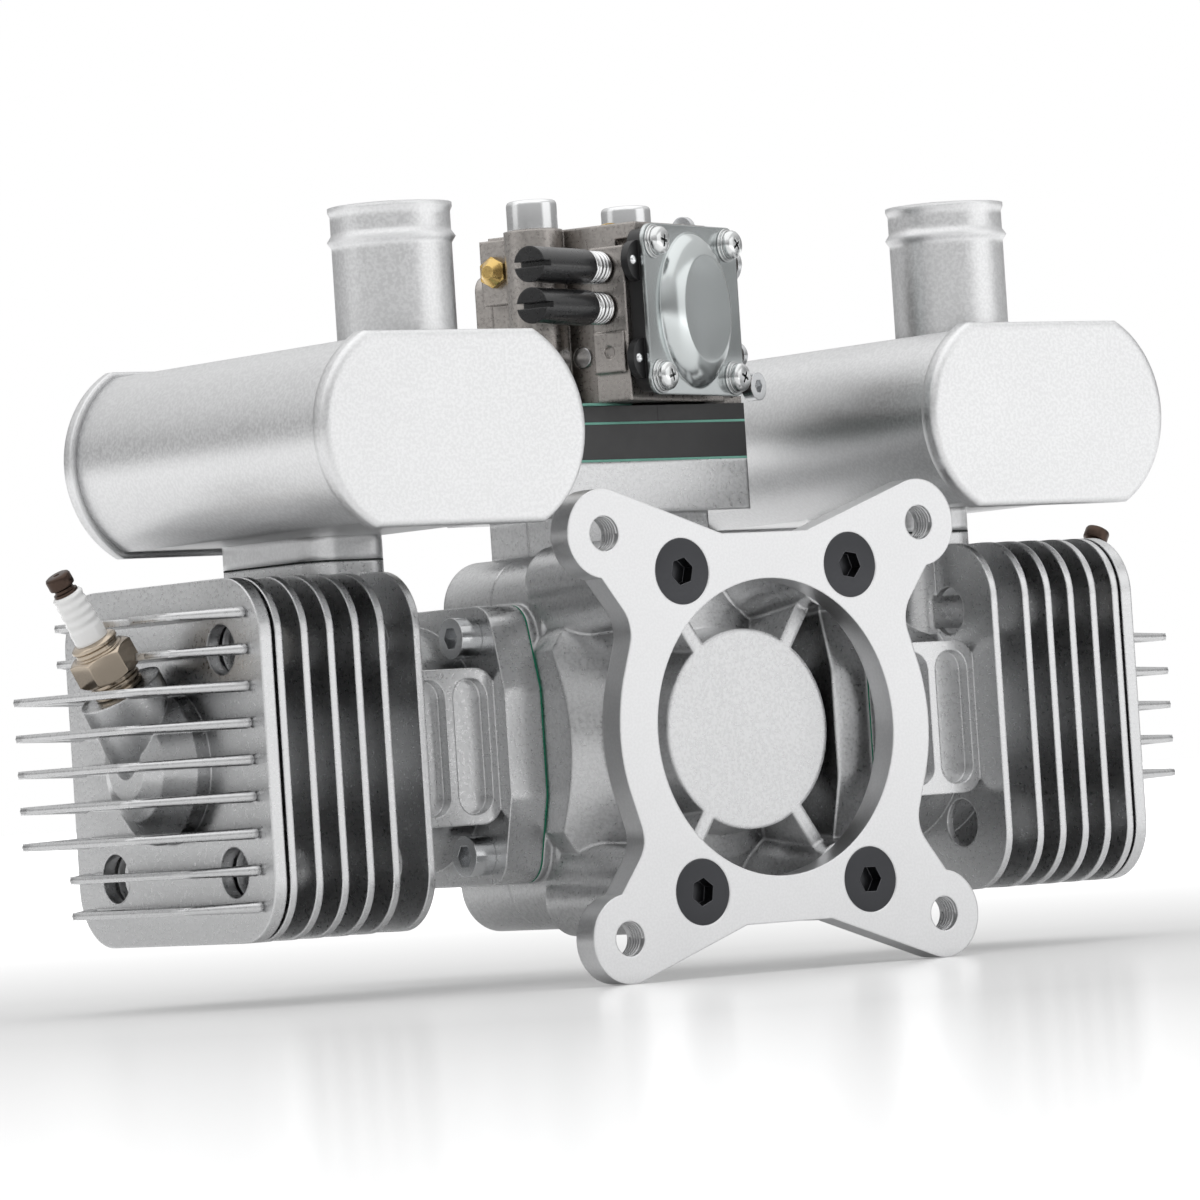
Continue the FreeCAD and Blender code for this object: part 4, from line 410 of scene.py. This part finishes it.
def carved(shape, tool, operation="DIFFERENCE"):
    """The shape less the tool, or what both hold, as plain lists."""
    base, knife = blank(shape), blank(tool)
    cut = base.modifiers.new("cut", "BOOLEAN")
    cut.operation = operation
    cut.solver = "EXACT"
    cut.object = knife
    graph = bpy.context.evaluated_depsgraph_get()
    mesh = bpy.data.meshes.new_from_object(base.evaluated_get(graph))
    verts = [tuple(v.co) for v in mesh.vertices]
    faces = [tuple(p.vertices) for p in mesh.polygons]
    for obj in (base, knife):
        bpy.data.objects.remove(obj)
    return verts, faces


def hex_bar(corner, low, high, first):
    """A six-sided bar with its corners at this radius, the first one at this angle."""
    ring = [(corner * math.cos(math.radians(60 * i + first)),
             corner * math.sin(math.radians(60 * i + first))) for i in range(6)]
    return ([(x, y, z) for z in (low, high) for x, y in ring],
            [(5, 4, 3, 2, 1, 0), (6, 7, 8, 9, 10, 11)]
            + [(i, (i + 1) % 6, 6 + (i + 1) % 6, 6 + i) for i in range(6)])


def bar(low, high, taper):
    """A block whose lower face is narrowed by the taper."""
    (x0, y0, z0), (x1, y1, z1) = low, high
    cx, cy = (x0 + x1) / 2, (y0 + y1) / 2
    verts = []
    for z, share in ((z0, taper), (z1, 1.0)):
        for x, y in ((x0, y0), (x1, y0), (x1, y1), (x0, y1)):
            verts.append((cx + (x - cx) * share, cy + (y - cy) * share, z))
    faces = [(3, 2, 1, 0), (4, 5, 6, 7)]
    faces += [(i, (i + 1) % 4, 4 + (i + 1) % 4, 4 + i) for i in range(4)]
    return verts, faces


def at(x, y, z):
    return Matrix.Translation((x, y, z))


def turned(degrees, axis):
    return Matrix.Rotation(math.radians(degrees), 4, axis)


# ---------------------------------------------------------------- carburettor
# It stands turned on its flange: x across its bolts, z up from its foot
CARB = at(0, 66.5, 82.0) @ turned(20, "Z")
TOWARD_PLATE = turned(90, "X")
CORNERS = ((-1, -1), (1, -1), (-1, 1), (1, 1))

# Needle springs, closed at both ends
NEEDLE_Y, NEEDLE_HEIGHTS = -19.7, (23, 33)
NEEDLE_COIL, NEEDLE_WIRE, NEEDLE_TURNS = 3.6, 0.52, 5.5
NEEDLE_ENDS = (-22.95, -29.05)
springs = []
for height in NEEDLE_HEIGHTS:
    coil = [(x, y + NEEDLE_Y, z + height)
            for x, y, z in coil_path(NEEDLE_COIL, NEEDLE_TURNS, *NEEDLE_ENDS)]
    springs.append(tube(coil, NEEDLE_WIRE, 10, (1, 0, 0)))
obj = piece("needle_springs", *merged(*springs), "chrome", CARB)
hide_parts("carburettor_springs")

# Return spring round the throttle shaft's boss, with one leg down to the body
THROTTLE_Y, THROTTLE_Z = -9, 12
RETURN_COIL, RETURN_WIRE, RETURN_TURNS = 6.2, 0.4, 4.5
RETURN_ENDS = (23.4, 28.0)
LEG_DROPS = (8.0, 4.0, 0.6)
leg = [(RETURN_ENDS[0], THROTTLE_Y + RETURN_COIL, THROTTLE_Z - drop) for drop in LEG_DROPS]
coil = [(x, y + THROTTLE_Y, z + THROTTLE_Z)
        for x, y, z in coil_path(RETURN_COIL, RETURN_TURNS, *RETURN_ENDS)]
piece("throttle_return_spring", *tube(leg + coil, RETURN_WIRE, 8, (1, 0.01, 0.02)), "chrome",
      CARB)

# Pan screws of the diaphragm cover, each on a split washer and a flat one
PAN_HEAD = [(0, 0), (3.3, 0), (3.55, 0.25), (3.6, 0.9), (3.45, 1.35), (3.0, 1.8), (2.2, 2.1),
            (1.2, 2.24), (0, 2.28)]
FLAT_WASHER = [(2.0, 0.0), (4.1, 0.0), (4.2, 0.1), (4.2, 0.4), (4.1, 0.5), (2.0, 0.5)]
SPLIT_WASHER = [(2.1, 0.0), (3.7, 0.0), (3.8, 0.1), (3.8, 0.6), (3.7, 0.7), (2.1, 0.7)]
SPLIT_SWEEP = math.radians(350)
SPLIT_SEAT, HEAD_SEAT = 0.5, 1.2
CROSS_LONG, CROSS_WIDE, CROSS_FLOOR, CROSS_TOP, CROSS_TAPER = 1.9, 0.42, 1.0, 3.0, 0.62
COVER_FACE_Y, COVER_Z, COVER_HALF = -32.0, 22, 16.5
PAN_TURNS = (18, 62, -12, 35)
pan = lathe(PAN_HEAD, 40)
for x, y in ((CROSS_LONG, CROSS_WIDE), (CROSS_WIDE, CROSS_LONG)):
    pan = carved(pan, bar((-x, -y, CROSS_FLOOR), (x, y, CROSS_TOP), CROSS_TAPER))
shapes = []
for turn, (sx, sz) in zip(PAN_TURNS, CORNERS):
    spin = turned(turn, "Z")
    seat = at(sx * COVER_HALF, COVER_FACE_Y, COVER_Z + sz * COVER_HALF) @ TOWARD_PLATE
    shapes.append(moved(lathe(FLAT_WASHER, 40), seat))
    shapes.append(moved(lathe(SPLIT_WASHER, 40, SPLIT_SWEEP), seat @ at(0, 0, SPLIT_SEAT) @ spin))
    shapes.append(moved(pan, seat @ at(0, 0, HEAD_SEAT) @ spin))
obj = piece("pan_screws_and_washers", *merged(*shapes), "zinc", CARB, SCREW_LOOK, 35.0)
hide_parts("cover_screws")

# The two tall cap screws that hold the carburettor down
TALL_HEAD = [(0, 44.0), (6.1, 44.0), (6.25, 44.2), (6.25, 50.3), (6.15, 50.8), (5.9, 51.2),
             (5.5, 51.42), (5.0, 51.5), (0, 51.5)]
TALL_SHANK = [(0, 8), (2.9, 8), (2.9, 44.1), (0, 44.1)]
TALL_SOCKET = hex_bar(2.9, 47.6, 53.0, 0)
TALL_X = 21.2
tall = merged(carved(lathe(TALL_HEAD, 64), TALL_SOCKET), lathe(TALL_SHANK, 24))
shapes = [moved(tall, at(s * TALL_X, 0, 0)) for s in (-1, 1)]
obj = piece("tall_cap_screws", *merged(*shapes), "chrome", CARB, smooth=30.0)
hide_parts("carburettor_bolts")

# Rivets on the side lobes of the diaphragm sheets
RIVET = [(0, -0.3), (1.3, -0.3), (1.3, 0.1), (1.1, 0.45), (0.6, 0.7), (0, 0.78)]
LOBE_X, LOBE_FACE_Y, LOBE_HALF = -22.6, -29.75, 12
shapes = [moved(lathe(RIVET, 24),
                at(LOBE_X, LOBE_FACE_Y, COVER_Z + s * LOBE_HALF) @ TOWARD_PLATE)
          for s in (-1, 1)]
piece("lobe_rivets", *merged(*shapes), "zinc", CARB)

# ---------------------------------------------------------------- mounting plate
# The plate's sunk screws: soft rims round deep sockets
SUNK = [(0, 22.0), (3.95, 22.0), (3.95, 4.3), (7.85, 0.35), (7.95, 0.2), (7.9, 0.05),
        (7.7, 0.0), (0, 0.0)]
SUNK_SOCKET = hex_bar(5.9 / math.sqrt(3), -1.0, 3.4, 30)
SUNK_X, SUNK_Y, SUNK_Z = 25.6, 0.05, 38.3
SUNK_TURNS = (8, 31, 14, 40)
FROM_PLATE = turned(-90, "X")
sunk = carved(lathe(SUNK, 64), SUNK_SOCKET)
shapes = []
for turn, (sx, sz) in zip(SUNK_TURNS, CORNERS):
    seat = at(sx * SUNK_X, SUNK_Y, sz * SUNK_Z) @ FROM_PLATE
    shapes.append(moved(sunk, seat @ turned(turn, "Z")))
obj = piece("sunk_plate_screws", *merged(*shapes), "black_steel", smooth=35.0)
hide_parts("plate_screws")

# Thread ridges in the plate's four corner holes
HOLE_OFFSET, THREAD_RADIUS, RIDGE = 48, 4.2, 0.28
THREAD_START, PITCH, THREAD_TURNS, TURN_STEPS = 1.0, 1.0, 5, 24
shapes = []
for sx in (-1, 1):
    for sz in (-1, 1):
        ridge = []
        for i in range(THREAD_TURNS * TURN_STEPS + 1):
            a = 2 * math.pi * i / TURN_STEPS
            ridge.append((sx * HOLE_OFFSET + THREAD_RADIUS * math.cos(a),
                          THREAD_START + PITCH * i / TURN_STEPS,
                          sz * HOLE_OFFSET + THREAD_RADIUS * math.sin(a)))
        shapes.append(tube(ridge, RIDGE, 6, (0, 1, 0)))
piece("corner_hole_threads", *merged(*shapes), "plate")

# ---------------------------------------------------------------- cylinder heads
CYLINDERS = (("left", -1, 83.5), ("right", 1, 49.5))    # side, sign of x, y of the bore
PLUG_TILT = 29.5
PLUG_X, PLUG_Z = 132.8, 18.8


# Spark plugs: washer, collar, hexagon and crimped ring, then the glazed stem and its cap
def round_of(radius, low, high, soft):
    """A turned disc's profile with softened edges, from the axis out and back."""
    return [(0, low), (radius - soft, low), (radius, low + soft), (radius, high - soft),
            (radius - soft, high), (0, high)]


NUT_LOW, NUT_HIGH = 4.1, 11.0
NUT_LIMIT = [(0, NUT_LOW), (6.9, NUT_LOW), (8.1, 4.9), (8.1, 10.2), (6.9, NUT_HIGH),
             (0, NUT_HIGH)]
NUT = carved(hex_bar(14 / math.sqrt(3), NUT_LOW, NUT_HIGH, 30), lathe(NUT_LIMIT, 60),
             "INTERSECT")
PLUG_WASHER = round_of(6.3, -0.05, 1.6, 0.5)
COLLAR = round_of(5.6, 1.4, 4.3, 0.3)
COLLAR_RING = [(0, 1.9), (6.1, 1.9), (6.3, 2.1), (6.3, 2.7), (6.1, 2.9), (0, 2.9)]
CRIMP = [(0, 10.8), (6.0, 10.8), (6.15, 11.2), (5.5, 11.6), (5.45, 12.4), (5.9, 12.9),
         (5.8, 13.5), (5.0, 14.1), (3.9, 14.2), (0, 14.2)]
PLUG_SHANK = round_of(4.9, -12.2, 0.2, 0.4)
SHELL = merged(lathe(PLUG_WASHER, 56), lathe(COLLAR, 56), lathe(COLLAR_RING, 56), NUT,
               lathe(CRIMP, 56), lathe(PLUG_SHANK, 40))

STEM_TOP = 27.1
WAVES, WAVE_STEPS, WAVE_DEPTH = 4, 48, 0.14
WAVES_LOW, WAVES_HIGH = 17.6, STEM_TOP - 0.7
waves = []
for i in range(WAVE_STEPS + 1):
    share = i / WAVE_STEPS
    waves.append((4.0 - 0.3 * share + WAVE_DEPTH * math.cos(2 * math.pi * WAVES * share),
                  WAVES_LOW + (WAVES_HIGH - WAVES_LOW) * share))
STEM = lathe([(0, 13.8), (4.1, 13.8), (4.15, 14.6), (4.15, 17.2)] + waves
             + [(3.5, STEM_TOP - 0.2), (3.0, STEM_TOP), (0, STEM_TOP)], 56)
CAP_END = 32.1
CAP = lathe([(0, 26.9), (3.0, 26.9), (3.1, 27.2), (3.0, 27.7), (2.5, 27.9), (2.4, 28.5),
             (2.6, 28.8), (3.1, 29.0), (3.2, 29.3), (3.2, 31.4), (2.95, 31.9),
             (2.5, CAP_END), (0.8, CAP_END), (0.5, 31.5), (0, 31.3)], 48)

caps = []
for side, sign, bore_y in CYLINDERS:
    seat = at(sign * PLUG_X, bore_y, PLUG_Z) @ turned(sign * PLUG_TILT, "Y")
    obj = piece("plug_shell_" + side, *SHELL, "plug_steel", seat, smooth=35.0)
    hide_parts("spark_plug_shell_" + side)
    obj = piece("plug_stem_" + side, *STEM, "ceramic", seat)
    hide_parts("spark_plug_insulator_" + side)
    caps.append(moved(CAP, seat))
obj = piece("plug_caps", *merged(*caps), "terminal_steel", smooth=40.0)
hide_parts("spark_plug_terminals")

# The head fins' rims: rounded, and thicker towards their roots
FIN_PITCH, FIN_ROOT_X = 8.7, 121.6
LONG_TIP, SHORT_TIP, TIP_INSET = 147.3, 134.5, 0.7
ROOT_HALF, TIP_HALF = 36.9, 24.7
ROOT_RIM, TIP_RIM = 1.4, 0.95
RIM_STEPS = 10
PLUG_ROOM = 11.2


def in_plug_room(x, y, z):
    """True inside the round space that the head fins leave for the spark plug."""
    tilt = math.radians(PLUG_TILT)
    along = (x - PLUG_X) * math.sin(tilt) + (z - PLUG_Z) * math.cos(tilt)
    aside = (x - PLUG_X) * math.cos(tilt) - (z - PLUG_Z) * math.sin(tilt)
    return along > 0 and math.hypot(aside, y) < PLUG_ROOM


def rim_of(tip):
    """Points (x, y) round a head fin's edge from root to root, each with the rim's radius."""
    run = [(FIN_ROOT_X, -ROOT_HALF), (tip - TIP_INSET, -TIP_HALF),
           (tip - TIP_INSET, TIP_HALF), (FIN_ROOT_X, ROOT_HALF)]
    rims = (ROOT_RIM, TIP_RIM, TIP_RIM, ROOT_RIM)
    line = []
    for (x0, y0), (x1, y1), r0, r1 in zip(run, run[1:], rims, rims[1:]):
        for s in range(RIM_STEPS):
            t = s / RIM_STEPS
            line.append((x0 + (x1 - x0) * t, y0 + (y1 - y0) * t, r0 + (r1 - r0) * t))
    return line + [(*run[-1], rims[-1])]


for side, sign, bore_y in CYLINDERS:
    shapes = []
    for i in range(-4, 5):
        z = i * FIN_PITCH
        stretch = []
        for mark in rim_of(LONG_TIP if abs(i) <= 2 else SHORT_TIP) + [None]:
            if mark and not in_plug_room(mark[0], mark[1], z):
                stretch.append(mark)
                continue
            if len(stretch) > 1:
                shapes.append(tube([(sign * x, bore_y + y, z) for x, y, r in stretch],
                                   [r for x, y, r in stretch], 12))
            stretch = []
    piece("head_fin_rims_" + side, *merged(*shapes), "cylinder_alloy")

# ---------------------------------------------------------------- floor
FLOOR_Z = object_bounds()[0][2] - 0.0001
FLOOR_HALF = 30.0
FLOOR_GREY, FLOOR_ROUGH, FLOOR_SPECULAR = (0.80, 0.80, 0.80, 1), 0.20, 0.35
RISE_START, RISE_END = 0.25, 1.6
GLOW_NEAR, GLOW_FAR = 0.14, 0.85
WHITE = (1, 1, 1, 1)


def floor_material():
    """A pale floor whose own glow is faint near the object, so that its shadow shows there,
    and rises with the distance until the floor is white."""
    mat = bpy.data.materials.new("pale_floor")
    mat.use_nodes = True
    tree = mat.node_tree
    shader = tree.nodes["Principled BSDF"]
    shader.inputs["Base Color"].default_value = FLOOR_GREY
    shader.inputs["Roughness"].default_value = FLOOR_ROUGH
    shader.inputs["Specular IOR Level"].default_value = FLOOR_SPECULAR
    coord = tree.nodes.new("ShaderNodeTexCoord")
    length = add_sum(tree, "ShaderNodeVectorMath", "LENGTH", coord.outputs["Object"])
    rise = add_node(tree, "ShaderNodeMapRange", {
        "Value": length.outputs["Value"], "From Min": RISE_START, "From Max": RISE_END,
        "To Min": GLOW_NEAR, "To Max": GLOW_FAR})
    rays = tree.nodes.new("ShaderNodeLightPath").outputs
    seen = largest(tree, rays["Is Camera Ray"], rays["Is Glossy Ray"],
                   rays["Is Transmission Ray"])
    strength = add_sum(tree, "ShaderNodeMath", "MULTIPLY", seen, rise.outputs["Result"])
    glow = add_node(tree, "ShaderNodeEmission", {"Color": WHITE,
                                                 "Strength": strength.outputs[0]})
    both = add_node(tree, "ShaderNodeAddShader", {0: shader.outputs[0], 1: glow.outputs[0]})
    tree.links.new(both.outputs[0], tree.nodes["Material Output"].inputs["Surface"])
    return mat


mesh = bpy.data.meshes.new("floor")
mesh.from_pydata([(-FLOOR_HALF, -FLOOR_HALF, FLOOR_Z), (FLOOR_HALF, -FLOOR_HALF, FLOOR_Z),
                  (FLOOR_HALF, FLOOR_HALF, FLOOR_Z), (-FLOOR_HALF, FLOOR_HALF, FLOOR_Z)],
                 [], [(0, 1, 2, 3)])
floor = placed("floor", mesh)
paint(floor, floor_material())

# ---------------------------------------------------------------- world
# White for the camera and through glass; for all other rays a studio whose light depends on
# the height of the direction: mid grey round the horizon and bright overhead
SKY = ((0.0, 0.62), (0.40, 0.34), (0.56, 0.36), (0.72, 0.80), (1.0, 1.0))
world = bpy.data.worlds.new("studio")
bpy.context.scene.world = world
world.use_nodes = True
tree = world.node_tree
coord = tree.nodes.new("ShaderNodeTexCoord")
split = add_node(tree, "ShaderNodeSeparateXYZ", {0: coord.outputs["Generated"]})
height = add_node(tree, "ShaderNodeMapRange", {"Value": split.outputs["Z"], "From Min": -1.0})
sky = add_node(tree, "ShaderNodeValToRGB", {"Fac": height.outputs[0]})
while len(sky.color_ramp.elements) < len(SKY):
    sky.color_ramp.elements.new(0.5)
for element, (place, level) in zip(sky.color_ramp.elements, SKY):
    element.position = place
    element.color = (level, level, level, 1)
studio = tree.nodes["Background"]
tree.links.new(sky.outputs["Color"], studio.inputs["Color"])
studio.inputs["Strength"].default_value = 1.0
backdrop = add_node(tree, "ShaderNodeBackground", {"Color": WHITE, "Strength": 1.0})
rays = tree.nodes.new("ShaderNodeLightPath").outputs
seen = largest(tree, rays["Is Camera Ray"], rays["Is Transmission Ray"])
choose = add_node(tree, "ShaderNodeMixShader", {"Fac": seen, 1: studio.outputs[0],
                                                2: backdrop.outputs[0]})
tree.links.new(choose.outputs[0], tree.nodes["World Output"].inputs["Surface"])

# ---------------------------------------------------------------- lamps
LAMP_AIM = Vector((0, 0.06, 0.03))


def lamp(name, spot, size, watts):
    data = bpy.data.lights.new(name, "AREA")
    data.shape = "RECTANGLE"
    data.size, data.size_y = size
    data.energy = watts
    obj = placed(name, data)
    obj.location = spot
    obj.rotation_euler = (LAMP_AIM - Vector(spot)).to_track_quat("-Z", "Y").to_euler()


lamp("key_right", (0.95, -1.20, 0.25), (1.3, 1.3), 4.0)
lamp("top", (-0.10, -0.05, 1.30), (2.4, 2.4), 9.0)
lamp("left_strip", (-1.25, 0.75, 0.75), (0.8, 1.1), 1.4)

# ---------------------------------------------------------------- camera
CAMERA_AT = Vector((-0.97869, -1.254447, -0.012511))
CAMERA_RIGHT = Vector((0.80329, -0.59206, -0.06470)).normalized()
CAMERA_UP = Vector((0.03500, -0.06152, 0.99749)).normalized()
camera_data = bpy.data.cameras.new("photo_camera")
camera_data.sensor_fit = "HORIZONTAL"
camera_data.sensor_width = 36.0
camera_data.lens = 198.259
camera_data.clip_end = 100.0
camera = placed("photo_camera", camera_data)
back = CAMERA_RIGHT.cross(CAMERA_UP).normalized()
up = back.cross(CAMERA_RIGHT)
axes = zip(CAMERA_RIGHT, up, back, CAMERA_AT)
camera.matrix_world = Matrix([*axes, (0, 0, 0, 1)])
bpy.context.scene.camera = camera
bpy.context.scene.view_settings.view_transform = "Standard"
